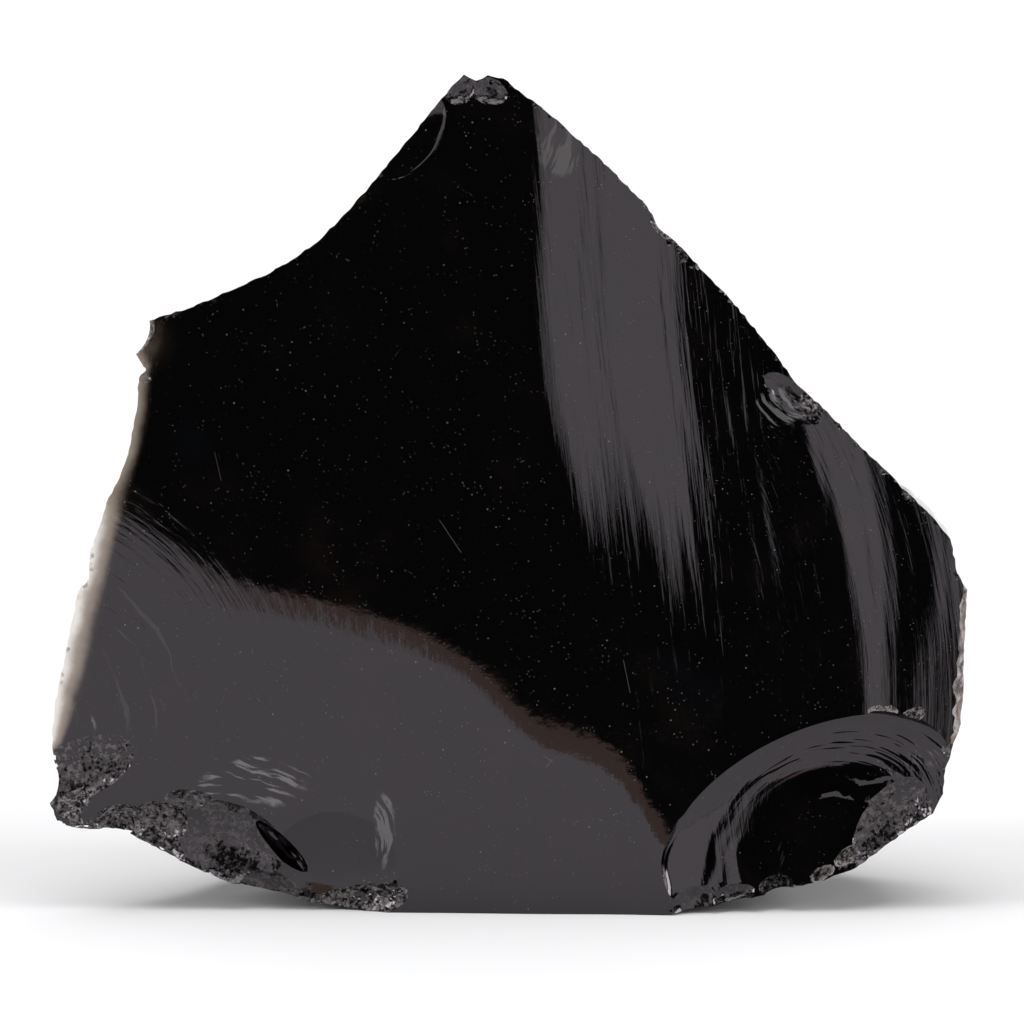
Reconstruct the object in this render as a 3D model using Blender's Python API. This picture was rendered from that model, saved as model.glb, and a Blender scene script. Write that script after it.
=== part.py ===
"""Obsidian chunk: one struck block of black volcanic glass, resting on a flat broken base.

The model is in metres, +Z up. The broad mirror face looks along -Y and +X is to its right.
The origin is on the resting plane, in the middle of the block's bounding box. Every size
and place below is in millimetres, and each mesh is scaled to metres as it is made.
"""

import math
from collections import namedtuple

import bmesh
import bpy
import numpy as np
from mathutils import Matrix, Vector

MM = 0.001
NODE = "obsidian_chunk"

# Driving dimensions of the blank, before the scars are struck off it
FRONT_Y = -29.15  # the mirror face's lower edge
BLANK_DEPTH = 73.0  # from there to the far end of the blank
EDGE_THICKNESS = 1.0  # wall left behind the mirror face's rim
CORTEX_THICKNESS = 9.0  # the same wall beside the weathered right side
CORTEX_START = 52.0  # place across where the wall has thickened half way
CORTEX_FADE = 6.0  # length over which it thickens
BLANK_AHEAD = 6.0  # how far the blank reaches in front of that lower edge
BACK_SHRINK = 0.80  # size of the blank's far end beside the mirror face
SHRINK_CENTRE = (5.0, 0.0)  # the point across and up that it shrinks towards

# The mirror face's outline, as (across, up), clockwise from the peak
PEAK = ((-6.6, 107.7), (-5.6, 108.7), (-4.0, 107.9), (-2.5, 108.6), (-0.5, 108.2))
RIGHT_SLOPE = (
    (1.7, 106.5), (4.9, 104.1), (8.0, 101.4), (13.8, 96.1), (18.2, 91.6), (19.0, 90.4),
    (19.6, 88.9), (22.5, 86.3), (25.7, 82.9), (28.9, 79.7), (33.2, 74.5), (35.8, 71.2),
    (38.1, 68.1), (41.9, 64.7), (45.0, 61.4), (48.9, 57.7), (52.2, 54.4), (55.5, 51.3),
)
RIGHT_SIDE = (
    (57.9, 48.4), (58.8, 43.9), (60.2, 41.6), (59.9, 35.0), (59.7, 27.8), (59.4, 24.1),
    (58.3, 22.0), (57.2, 18.5), (56.9, 15.5),
)
RIGHT_UNDERSIDE = (
    (55.6, 13.0), (51.9, 10.2), (48.0, 7.2), (45.0, 5.6), (41.5, 4.2), (37.5, 3.3),
    (33.5, 2.3), (29.5, 1.6), (26.0, 0.9), (23.0, 0.5),
)
BASE = ((20.4, 0.0), (-18.6, 0.0))
LEFT_UNDERSIDE = (
    (-21.7, 0.5), (-26.5, 1.2), (-31.5, 2.2), (-35.4, 3.4), (-38.2, 4.6), (-41.5, 6.1),
    (-44.6, 7.9), (-47.7, 9.4), (-51.0, 10.7), (-56.0, 10.9), (-58.6, 11.4),
)
LEFT_EDGE = (
    (-60.0, 15.2), (-59.0, 17.9), (-59.4, 23.3), (-59.0, 27.0), (-58.4, 30.0),
    (-57.6, 33.5), (-56.6, 38.5), (-55.9, 41.9), (-54.5, 43.6), (-54.2, 47.4),
    (-53.0, 50.6), (-52.1, 53.6), (-50.4, 56.8), (-49.3, 59.8), (-48.6, 63.2),
    (-48.0, 67.0), (-47.9, 69.9),
)
LEFT_CORNER = ((-47.3, 71.2), (-48.6, 73.2), (-48.3, 75.0), (-46.6, 77.0))
SCALLOP = (
    (-41.7, 78.5), (-37.8, 80.1), (-34.3, 81.6), (-30.8, 83.2), (-28.1, 84.8), (-25.2, 86.8),
    (-22.0, 89.8), (-18.0, 94.2), (-14.0, 98.9), (-10.8, 102.8), (-8.5, 105.7),
)

# The mirror face: a lean, a bend along the knee line, and low ribs to the right of it
FACE_SPACING = 3.2
FACE_MARGIN = 9.0
FACE_OVERCUT = 30.0  # how far the cutter reaches in front of the lower edge
LEAN = 0.035  # depth gained per millimetre of height
KNEE_SLOPE = 0.084  # further lean above the knee
KNEE_DRIFT = 0.0735
KNEE_WIDTH = 12.5
KNEE_LINE = (
    (-70, 57), (-50, 52), (-36, 43.5), (-24, 40.5), (-15, 38), (-7, 34), (0, 28), (8, 22.8),
    (13.5, 21.5), (17.5, 16), (21, 9), (24, 3), (27, 0), (70, -2),
)
KNEE_BLUR = (-3.0, -1.5, 0.0, 1.5, 3.0)
PANEL_TURN = 0.13  # rightward turn of the tall panel under the peak
PANEL_WIDTH = 17.0
PANEL_TOP = (3.9, 101.9)  # where its left side meets the slope, across and up
PANEL_LEAN = 0.11  # how far that side runs to the right per millimetre downwards
PANEL_SWAY = (60.0, 9.0)  # height where the side's sway is nil, and its length per radian
PANEL_BENDS = (8.0, 9.0)  # lengths over which its left and right bends are rounded
PANEL_FOOT = (52.0, 34.0)  # the height where it fades out, and over what height
FAR_TURN = 0.02  # rightward turn of all that lies past the panel
FAR_BEND = 6.0
RIB_CENTRE = (-25.6, 27.8)  # centre of the arcs that the ribs and the rim follow
RIB_TURN = 0.12
RIB_START = 72.3
RIB_WIDTH = 6.0
RIB_BENDS = (2.0, 3.5)
RIM_TURN = 0.13
RIM_START = 81.2
RIM_BEND = 1.6
RIB_TOP = (67.0, 9.0)  # the height where the ribs fade out, and over what height

# Rim scars are broad bowls struck off the back and the sides from a place on the outline.
# Each has its heading out from the face in degrees from +X towards +Z, the angle of the
# stone's wedge there, the run from the rim to the bowl's deepest place, and its radius.
RimScar = namedtuple("RimScar", "name across up heading wedge run bowl")
FLAT = 1.0e5
RIM_SCARS = (
    RimScar("scallop_back", -22.0, 89.6, 136.0, 41.0, 34.0, 60.0),
    RimScar("right_back", 30.0, 78.3, 44.5, 37.0, 40.0, 130.0),
    RimScar("cortex", 58.6, 31.0, 0.0, 111.0, 6.0, FLAT),
    RimScar("left_underside", -31.0, 2.4, 254.0, 84.0, 26.0, 150.0),
    RimScar("right_underside", 43.0, 4.5, 293.0, 82.0, 22.0, 130.0),
)

# Back scars are the same bowls, by the deepest place of each and its outward direction
BackScar = namedtuple("BackScar", "name across behind up outward bowl")
BACK_SCARS = (
    BackScar("main_back", -3.0, 42.0, 46.0, (-0.08, 0.93, 0.36), 170.0),
    BackScar("left_back", -32.0, 31.0, 34.0, (-0.66, 0.74, 0.12), 110.0),
    BackScar("low_right_back", 38.0, 36.0, 26.0, (0.60, 0.79, -0.08), 95.0),
    BackScar("low_back", 2.0, 49.0, 9.0, (0.10, 0.86, -0.50), 80.0),
    BackScar("right_side", 58.0, 19.0, 30.0, (0.93, 0.36, 0.10), 140.0),
    BackScar("right_ridge", 23.0, 44.8, 38.0, (0.20, 0.80, 0.56), 52.0),
    BackScar("upper_ridge", 4.0, 33.2, 73.0, (0.10, 0.83, 0.55), 46.0),
    BackScar("left_ridge", -22.0, 38.6, 40.0, (-0.38, 0.91, 0.14), 58.0),
    BackScar("back_heel", -14.0, 49.5, 8.0, (-0.34, 0.86, -0.38), 40.0),
    BackScar("right_corner", 47.0, 30.6, 36.0, (0.66, 0.66, 0.36), 36.0),
    BackScar("hollow_ridge", -40.5, 22.6, 22.0, (-0.84, 0.52, -0.16), 44.0),
)
SCAR_REACH = 84.0
SCAR_CELLS = 18
SCAR_OVERCUT = 70.0

# Flakes are shallow ellipsoidal bites. Each has its half length and half width where it
# meets the mirror face, its depth there, its long axis's turn up from the horizontal, how
# far its lower side is tipped out of the face, in degrees, and the height of the ellipsoid's
# centre over the face per half thickness.
Flake = namedtuple(
    "Flake", "name across up half_length half_width depth turn tip rise", defaults=(0.0, 0.62)
)
LARGE_FLAKE = 10.0  # a flake of a greater half length has finer faces
FLAKE_DETAIL = 3
LARGE_FLAKE_DETAIL = 4
FLAKES = (
    Flake("lower_right_scoop", 40.6, 9.8, 20.0, 16.0, 3.4, 25.0, 16.0, 0.15),
    Flake("scoop_floor", 49.0, 12.4, 4.8, 3.6, 5.0, 40.0, 0.0, 0.5),
    Flake("base_facet", 25.0, 3.0, 4.6, 3.2, 2.2, 48.0, 14.0),
    Flake("low_left_bowl", -22.6, 6.8, 8.2, 8.4, 1.7, 0.0, -5.0),
    Flake("low_left_step", -36.5, 9.0, 8.6, 5.4, 2.3, -22.0, -4.0),
    Flake("low_left_hollow", -30.0, 9.0, 4.4, 2.3, 4.2, -36.0),
    Flake("corner_step", -45.6, 11.6, 6.4, 3.0, 1.9, -16.0),
    Flake("left_foot", -52.4, 19.6, 4.4, 3.3, 0.9, 28.0, 4.0),
    Flake("left_corner", -48.6, 75.2, 3.6, 2.2, 1.6, 52.0),
    Flake("edge_flake", 37.2, 66.0, 4.2, 2.4, 0.9, -38.0, -8.0),
    Flake("slope_notch", 20.9, 89.0, 2.8, 1.6, 1.5, -45.0),
    Flake("peak_chip", -4.6, 108.8, 3.0, 2.0, 1.3, 10.0),
)

# The long hollow behind the left edge, which leaves that edge thin enough to see through,
# by its centre's place across, behind the mirror face's lower edge, and up
HOLLOW_CENTRE = (-61.7, 30.8, 50.0)
HOLLOW_RADII = (26.0, 25.5, 84.0)
HOLLOW_ALONG = (9.0, 1.7, 37.0)
HOLLOW_DETAIL = 5

GLASS_COLOUR = (0.006, 0.0055, 0.006, 1.0)
GLASS_ROUGHNESS = 0.06
SHARP_ANGLE = math.radians(24)


def clear_scene():
    """Remove whatever the open file holds."""
    for thing in list(bpy.data.objects):
        bpy.data.objects.remove(thing, do_unlink=True)


def glass_material():
    """Black volcanic glass."""
    material = bpy.data.materials.new("obsidian")
    material.use_nodes = True
    shader = material.node_tree.nodes["Principled BSDF"]
    shader.inputs["Base Color"].default_value = GLASS_COLOUR
    shader.inputs["Roughness"].default_value = GLASS_ROUGHNESS
    shader.inputs["Metallic"].default_value = 0.0
    return material


def make_object(name, bm):
    """An object in metres from a mesh in millimetres, its faces pointing out."""
    bmesh.ops.recalc_face_normals(bm, faces=bm.faces)
    mesh = bpy.data.meshes.new(name)
    bm.to_mesh(mesh)
    bm.free()
    mesh.transform(Matrix.Scale(MM, 4))
    thing = bpy.data.objects.new(name, mesh)
    bpy.context.collection.objects.link(thing)
    return thing


def ramp(distance, width):
    """A rise of slope 0 below zero and 1 above it, the bend rounded over this width."""
    part = np.clip(distance / width + 0.5, 0.0, 1.0)
    past = np.maximum(distance - 0.5 * width, 0.0)
    return width * (part**3 - 0.5 * part**4) + past


def smooth_step(distance, width):
    """0 below zero and 1 above it, eased over this width."""
    part = np.clip(distance / width + 0.5, 0.0, 1.0)
    return part * part * (3.0 - 2.0 * part)


def knee_height(across):
    """Height of the knee line at this place across."""
    places, heights = zip(*KNEE_LINE)
    heights_near = [np.interp(across + shift, places, heights) for shift in KNEE_BLUR]
    return sum(heights_near) / len(KNEE_BLUR)


def beside_panel(across, up):
    """Distance to the right of the panel's swaying left side."""
    side = PANEL_TOP[0] + PANEL_LEAN * (PANEL_TOP[1] - up)
    return across - side + np.sin((up - PANEL_SWAY[0]) / PANEL_SWAY[1])


def face_depth(across, up):
    """How far the mirror face lies behind its lower edge, at a place across and up."""
    knee = knee_height(across)
    depth = LEAN * up + KNEE_SLOPE * ramp(up - knee, KNEE_WIDTH) + KNEE_DRIFT * knee
    beside = beside_panel(across, up)
    panel = ramp(beside, PANEL_BENDS[0]) - ramp(beside - PANEL_WIDTH, PANEL_BENDS[1])
    depth = depth + smooth_step(up - PANEL_FOOT[0], PANEL_FOOT[1]) * PANEL_TURN * panel
    depth = depth + FAR_TURN * ramp(beside, FAR_BEND)
    radius = np.hypot(across - RIB_CENTRE[0], up - RIB_CENTRE[1])
    past = radius - RIB_START
    rib = RIB_TURN * (ramp(past, RIB_BENDS[0]) - ramp(past - RIB_WIDTH, RIB_BENDS[1]))
    rim = RIM_TURN * ramp(radius - RIM_START, RIM_BEND)
    return depth + smooth_step(RIB_TOP[0] - up, RIB_TOP[1]) * (rib + rim)


def face_point(across, up):
    """The point of the mirror face at a place across and up."""
    return Vector((across, FRONT_Y + float(face_depth(across, up)), up))


def block_point(across, behind, up):
    """The point this far across, behind the mirror face's lower edge, and up."""
    return Vector((across, FRONT_Y + behind, up))


def face_normal(across, up, step=1.5):
    """The mirror face's outward direction there."""
    slope_x = float(face_depth(across + step, up) - face_depth(across - step, up))
    slope_z = float(face_depth(across, up + step) - face_depth(across, up - step))
    return Vector((slope_x / (2 * step), -1.0, slope_z / (2 * step))).normalized()


def outline():
    """The mirror face's outline, clockwise from the peak."""
    right = PEAK + RIGHT_SLOPE + RIGHT_SIDE + RIGHT_UNDERSIDE
    left = BASE + LEFT_UNDERSIDE + LEFT_EDGE + LEFT_CORNER + SCALLOP
    return [*right, *left]


def wall_thickness(across):
    """Wall behind the rim: thin all round, and thicker beside the weathered right side."""
    more = CORTEX_THICKNESS - EDGE_THICKNESS
    return EDGE_THICKNESS + more * float(smooth_step(across - CORTEX_START, CORTEX_FADE))


def blank():
    """The block that every scar is struck from: the outline, drawn back and narrowed."""
    bm = bmesh.new()
    near_y = FRONT_Y - BLANK_AHEAD
    corners = [bm.verts.new((across, near_y, up)) for across, up in outline()]
    bm.faces.new(corners)
    reach = bmesh.ops.extrude_face_region(bm, geom=bm.faces[:])
    rim = [item for item in reach["geom"] if isinstance(item, bmesh.types.BMVert)]
    for vert in rim:
        vert.co.y = face_point(vert.co.x, vert.co.z).y + wall_thickness(vert.co.x)
    cap = [item for item in reach["geom"] if isinstance(item, bmesh.types.BMFace)]
    reach = bmesh.ops.extrude_face_region(bm, geom=cap)
    far_end = [item for item in reach["geom"] if isinstance(item, bmesh.types.BMVert)]
    for vert in far_end:
        vert.co.x = SHRINK_CENTRE[0] + (vert.co.x - SHRINK_CENTRE[0]) * BACK_SHRINK
        vert.co.z = SHRINK_CENTRE[1] + (vert.co.z - SHRINK_CENTRE[1]) * BACK_SHRINK
        vert.co.y = FRONT_Y + BLANK_DEPTH
    bmesh.ops.delete(bm, geom=cap, context="FACES_ONLY")
    return make_object(NODE, bm)


def face_cutter():
    """Everything in front of the mirror face."""
    points = outline()
    low = Vector((min(p[0] for p in points), min(p[1] for p in points)))
    high = Vector((max(p[0] for p in points), max(p[1] for p in points)))
    size = high - low + 2 * Vector((FACE_MARGIN, FACE_MARGIN))
    middle = (low + high) / 2
    bm = bmesh.new()
    bmesh.ops.create_grid(
        bm,
        x_segments=round(size.x / FACE_SPACING),
        y_segments=round(size.y / FACE_SPACING),
        size=0.5,
    )
    for vert in bm.verts:
        across, up = middle.x + vert.co.x * size.x, middle.y + vert.co.y * size.y
        vert.co = face_point(across, up)
    reach = bmesh.ops.extrude_face_region(bm, geom=bm.faces[:])
    for item in reach["geom"]:
        if isinstance(item, bmesh.types.BMVert):
            item.co.y = FRONT_Y - FACE_OVERCUT
    return make_object("mirror_face", bm)


def scar_cutter(name, place, outward, bowl):
    """Everything outside a broad bowl."""
    bm = bmesh.new()
    bmesh.ops.create_grid(bm, x_segments=SCAR_CELLS, y_segments=SCAR_CELLS, size=SCAR_REACH)
    for vert in bm.verts:
        vert.co.z = vert.co.xy.length_squared / (2 * bowl)
    reach = bmesh.ops.extrude_face_region(bm, geom=bm.faces[:])
    for item in reach["geom"]:
        if isinstance(item, bmesh.types.BMVert):
            item.co.z = max(SCAR_OVERCUT, item.co.z + 1.0)
    turn = outward.to_track_quat("Z", "Y").to_matrix().to_4x4()
    bmesh.ops.transform(bm, matrix=Matrix.Translation(place) @ turn, verts=bm.verts)
    return make_object(name, bm)


def rim_scar_cutter(scar):
    """Everything outside a bowl that starts just behind the mirror face's rim."""
    heading = math.radians(scar.heading)
    out_of_rim = Vector((math.cos(heading), 0.0, math.sin(heading)))
    back = Vector((0.0, 1.0, 0.0))
    wedge = math.radians(scar.wedge) + math.atan(scar.run / scar.bowl)
    outward = out_of_rim * math.sin(wedge) + back * math.cos(wedge)
    down_scar = back * math.sin(wedge) - out_of_rim * math.cos(wedge)
    rim = face_point(scar.across, scar.up) + back * EDGE_THICKNESS
    place = rim + down_scar * scar.run - outward * scar.run**2 / (2 * scar.bowl)
    return scar_cutter(scar.name, place, outward, scar.bowl)


def back_scar_cutter(scar):
    """Everything outside a bowl on the back of the block."""
    place = block_point(scar.across, scar.behind, scar.up)
    return scar_cutter(scar.name, place, Vector(scar.outward).normalized(), scar.bowl)


def ball_cutter(name, centre, axes, radii, detail):
    """An ellipsoid with these three axes and half lengths."""
    bm = bmesh.new()
    bmesh.ops.create_icosphere(bm, subdivisions=detail, radius=1.0)
    turn = Matrix(axes).transposed().to_4x4()
    place = Matrix.Translation(centre) @ turn @ Matrix.Diagonal((*radii, 1.0))
    bmesh.ops.transform(bm, matrix=place, verts=bm.verts)
    return make_object(name, bm)


def flake_cutter(flake):
    """The ellipsoid of one flake, its long axis turned in the plane of the mirror face."""
    outward = face_normal(flake.across, flake.up)
    level = Vector((0.0, 0.0, 1.0)).cross(outward).normalized()
    turn = math.radians(flake.turn)
    long_axis = level * math.cos(turn) + outward.cross(level) * math.sin(turn)
    half_thickness = flake.depth / (1.0 - flake.rise)
    grow = 1.0 / math.sqrt(1.0 - flake.rise**2)
    radii = (flake.half_length * grow, flake.half_width * grow, half_thickness)
    centre = face_point(flake.across, flake.up) + outward * half_thickness * flake.rise
    outward = Matrix.Rotation(math.radians(-flake.tip), 3, long_axis) @ outward
    axes = (long_axis, outward.cross(long_axis), outward)
    detail = LARGE_FLAKE_DETAIL if flake.half_length > LARGE_FLAKE else FLAKE_DETAIL
    return ball_cutter(flake.name, centre, axes, radii, detail)


def hollow_cutter():
    """The ellipsoid of the hollow behind the thin left edge."""
    along = Vector(HOLLOW_ALONG).normalized()
    across = Vector((0.0, 1.0, 0.0)).cross(along).normalized()
    axes = (across, along.cross(across), along)
    centre = block_point(*HOLLOW_CENTRE)
    return ball_cutter("left_edge_hollow", centre, axes, HOLLOW_RADII, HOLLOW_DETAIL)


def strike(block, cutter):
    """Cut the cutter's shape off the block."""
    cut = block.modifiers.new(cutter.name, "BOOLEAN")
    cut.operation = "DIFFERENCE"
    cut.object = cutter


def settle(block):
    """Apply the cuts, drop their cutters, and shade the block with sharp arrises."""
    graph = bpy.context.evaluated_depsgraph_get()
    mesh = bpy.data.meshes.new_from_object(block.evaluated_get(graph))
    block.modifiers.clear()
    for thing in list(bpy.data.objects):
        if thing is not block:
            bpy.data.objects.remove(thing, do_unlink=True)
    block.data = mesh
    mesh.name = block.name
    mesh.materials.clear()
    mesh.materials.append(glass_material())
    mesh.shade_smooth()
    mesh.set_sharp_from_angle(angle=SHARP_ANGLE)


def main():
    """Strike the chunk from its blank."""
    clear_scene()
    block = blank()
    strike(block, face_cutter())
    for scar in RIM_SCARS:
        strike(block, rim_scar_cutter(scar))
    for scar in BACK_SCARS:
        strike(block, back_scar_cutter(scar))
    strike(block, hollow_cutter())
    for flake in FLAKES:
        strike(block, flake_cutter(flake))
    settle(block)


main()
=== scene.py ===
"""Obsidian chunk: a struck block of glass with its scars, chips and finish, in a pale studio."""

import logging
import math
import random
from dataclasses import dataclass
from enum import Enum
from typing import Any, Callable, Iterable

import bmesh
import bpy
import numpy as np
from mathutils import Matrix, Vector
from mathutils.bvhtree import BVHTree


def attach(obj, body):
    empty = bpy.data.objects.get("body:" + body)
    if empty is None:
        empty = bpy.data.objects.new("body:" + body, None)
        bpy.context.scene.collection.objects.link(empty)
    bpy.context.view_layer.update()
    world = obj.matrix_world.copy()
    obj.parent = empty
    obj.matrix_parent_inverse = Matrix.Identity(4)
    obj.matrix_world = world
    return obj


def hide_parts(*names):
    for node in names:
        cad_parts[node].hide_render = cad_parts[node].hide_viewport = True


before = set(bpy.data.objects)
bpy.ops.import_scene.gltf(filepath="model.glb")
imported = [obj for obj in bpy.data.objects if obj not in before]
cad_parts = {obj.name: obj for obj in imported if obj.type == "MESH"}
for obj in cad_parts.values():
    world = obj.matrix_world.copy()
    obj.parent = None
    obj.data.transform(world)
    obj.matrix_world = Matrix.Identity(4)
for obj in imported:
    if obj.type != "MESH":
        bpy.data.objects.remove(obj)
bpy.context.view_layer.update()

log = logging.getLogger("obsidian")

MM = 0.001  # sizes are in millimetres, and meshes are scaled to metres as they are made
NODE = "obsidian_chunk"
Z_UP = Vector((0.0, 0.0, 1.0))
BACKWARDS = Vector((0.0, 1.0, 0.0))


# ---------------------------------------------------------------------------
# Curves and meshes
# ---------------------------------------------------------------------------


def ramp(distance: Any, width: float) -> Any:
    """A rise of slope 0 below zero and 1 above it.

    Args:
        distance: where to read it, a number or an array.
        width: the length over which the bend is rounded.

    Returns:
        The height there.
    """
    part = np.clip(distance / width + 0.5, 0.0, 1.0)
    return width * (part**3 - 0.5 * part**4) + np.maximum(distance - 0.5 * width, 0.0)


def smooth_step(distance: Any, width: float) -> Any:
    """An eased step from 0 to 1.

    Args:
        distance: where to read it, a number or an array.
        width: the length of the step, which is centred on zero.

    Returns:
        The height there.
    """
    part = np.clip(distance / width + 0.5, 0.0, 1.0)
    return part * part * (3.0 - 2.0 * part)


@dataclass(frozen=True)
class Fade:
    """An eased change from 0 to 1 along a coordinate.

    Attributes:
        middle: where it is half way.
        length: how long it is; with a negative length it falls from 1 to 0.
    """

    middle: float
    length: float

    def at(self, place: Any) -> Any:
        """The change at a place, which is a number or an array."""
        return smooth_step(place - self.middle, self.length)


@dataclass(frozen=True)
class Swell:
    """A smooth uneven swell, the sum of waves that run in many directions.

    Attributes:
        wavelength: mean length of a wave.
        height: root mean square height.
        seed: which swell of this kind.
        waves: how many waves it sums.
        drawn: how many times longer its waves are along the second coordinate.
    """

    wavelength: float
    height: float
    seed: int
    waves: int = 9
    drawn: float = 1.0

    def at(self, u: np.ndarray, v: np.ndarray) -> np.ndarray:
        """Height of the swell.

        Args:
            u: first coordinates.
            v: second coordinates.

        Returns:
            The heights there.
        """
        draw = random.Random(self.seed)
        total = np.zeros_like(u)
        v = v / self.drawn
        for _ in range(self.waves):
            length = self.wavelength * draw.uniform(0.55, 1.7)
            heading = draw.uniform(0.0, math.tau)
            along = u * math.cos(heading) + v * math.sin(heading)
            total += np.sin(math.tau * along / length + draw.uniform(0.0, math.tau))
        return total * self.height * math.sqrt(2.0 / self.waves)


@dataclass(frozen=True)
class ArcWaves:
    """Fine waves that run in arcs round a centre.

    Attributes:
        centre: the arcs' centre, as (across, up).
        radian: the length along an arc that a radian stands for.
        swells: the swells that they sum, with the second coordinate along the arcs.
    """

    centre: tuple
    radian: float
    swells: tuple

    def radius(self, across: np.ndarray, up: np.ndarray) -> np.ndarray:
        """Distance from the centre."""
        return np.hypot(across - self.centre[0], up - self.centre[1])

    def at(self, across: np.ndarray, up: np.ndarray) -> np.ndarray:
        """Height of the waves.

        Args:
            across: places along X.
            up: heights.

        Returns:
            The heights there.
        """
        radius = self.radius(across, up)
        along = np.arctan2(up - self.centre[1], across - self.centre[0]) * self.radian
        return sum(swell.at(radius, along) for swell in self.swells)


class Mark(Enum):
    """What the mesh tells the finish about each of its places."""

    # The "thin" attribute holds painted light through the thin edge, from 0 to 1.
    THIN = "thin"
    CRUSH = "crush"
    RIND = "rind"
    MIRROR = "mirror"


def mesh_object(
    name: str, bm: bmesh.types.BMesh, marks: dict[Mark, float] | None = None
) -> bpy.types.Object:
    """Make an object in metres from a mesh in millimetres.

    Args:
        name: the object's name.
        bm: its mesh, which is freed.
        marks: what its faces are marked with, where they aren't marked already.

    Returns:
        The object, with its faces pointing out.
    """
    bmesh.ops.recalc_face_normals(bm, faces=bm.faces)
    for mark in (Mark.CRUSH, Mark.RIND, Mark.MIRROR):
        if mark.value not in bm.faces.layers.float:
            layer = bm.faces.layers.float.new(mark.value)
            for face in bm.faces:
                face[layer] = (marks or {}).get(mark, 0.0)
    mesh = bpy.data.meshes.new(name)
    bm.to_mesh(mesh)
    bm.free()
    mesh.transform(Matrix.Scale(MM, 4))
    thing = bpy.data.objects.new(name, mesh)
    bpy.context.scene.collection.objects.link(thing)
    return thing


def new_verts(result: dict[str, list]) -> list[bmesh.types.BMVert]:
    """The vertices among what a bmesh operator made."""
    return [item for item in result["geom"] if isinstance(item, bmesh.types.BMVert)]


def new_faces(result: dict[str, list]) -> list[bmesh.types.BMFace]:
    """The faces among what a bmesh operator made."""
    return [item for item in result["geom"] if isinstance(item, bmesh.types.BMFace)]


def slab(
    size: Vector, spacing: float, surface: Callable[[np.ndarray, np.ndarray], np.ndarray],
    thickness: float, least: float = 1.0,
) -> bmesh.types.BMesh:
    """A closed slab over the XY plane whose lower side follows a surface.

    Args:
        size: its size along X and Y, centred on the origin.
        spacing: the distance between the surface's vertices.
        surface: gives the height of the lower side from arrays of X and Y.
        thickness: height of the flat upper side.
        least: the slab's thickness where the surface would come through that side.

    Returns:
        The slab's mesh.
    """
    bm = bmesh.new()
    segments = [max(2, round(side / spacing)) for side in size]
    bmesh.ops.create_grid(bm, x_segments=segments[0], y_segments=segments[1], size=0.5)
    bmesh.ops.scale(bm, vec=(size.x, size.y, 1.0), verts=bm.verts)
    places = np.array([vert.co[:2] for vert in bm.verts])
    heights = surface(places[:, 0], places[:, 1])
    for vert, height in zip(bm.verts, heights):
        vert.co.z = height
    for vert in new_verts(bmesh.ops.extrude_face_region(bm, geom=bm.faces[:])):
        vert.co.z = max(thickness, vert.co.z + least)
    return bm


def ball(centre: Vector, axes: Iterable[Vector], radii: tuple, detail: int) -> bmesh.types.BMesh:
    """An ellipsoid.

    Args:
        centre: its middle.
        axes: the directions of its three axes.
        radii: its half length along each of them.
        detail: subdivisions of the icosphere.

    Returns:
        The ellipsoid's mesh.
    """
    bm = bmesh.new()
    bmesh.ops.create_icosphere(bm, subdivisions=detail, radius=1.0)
    turn = Matrix(list(axes)).transposed().to_4x4()
    place = Matrix.Translation(centre) @ turn @ Matrix.Diagonal((*radii, 1.0))
    bmesh.ops.transform(bm, matrix=place, verts=bm.verts)
    return bm


# ---------------------------------------------------------------------------
# The mirror face and its outline
# ---------------------------------------------------------------------------


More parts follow.
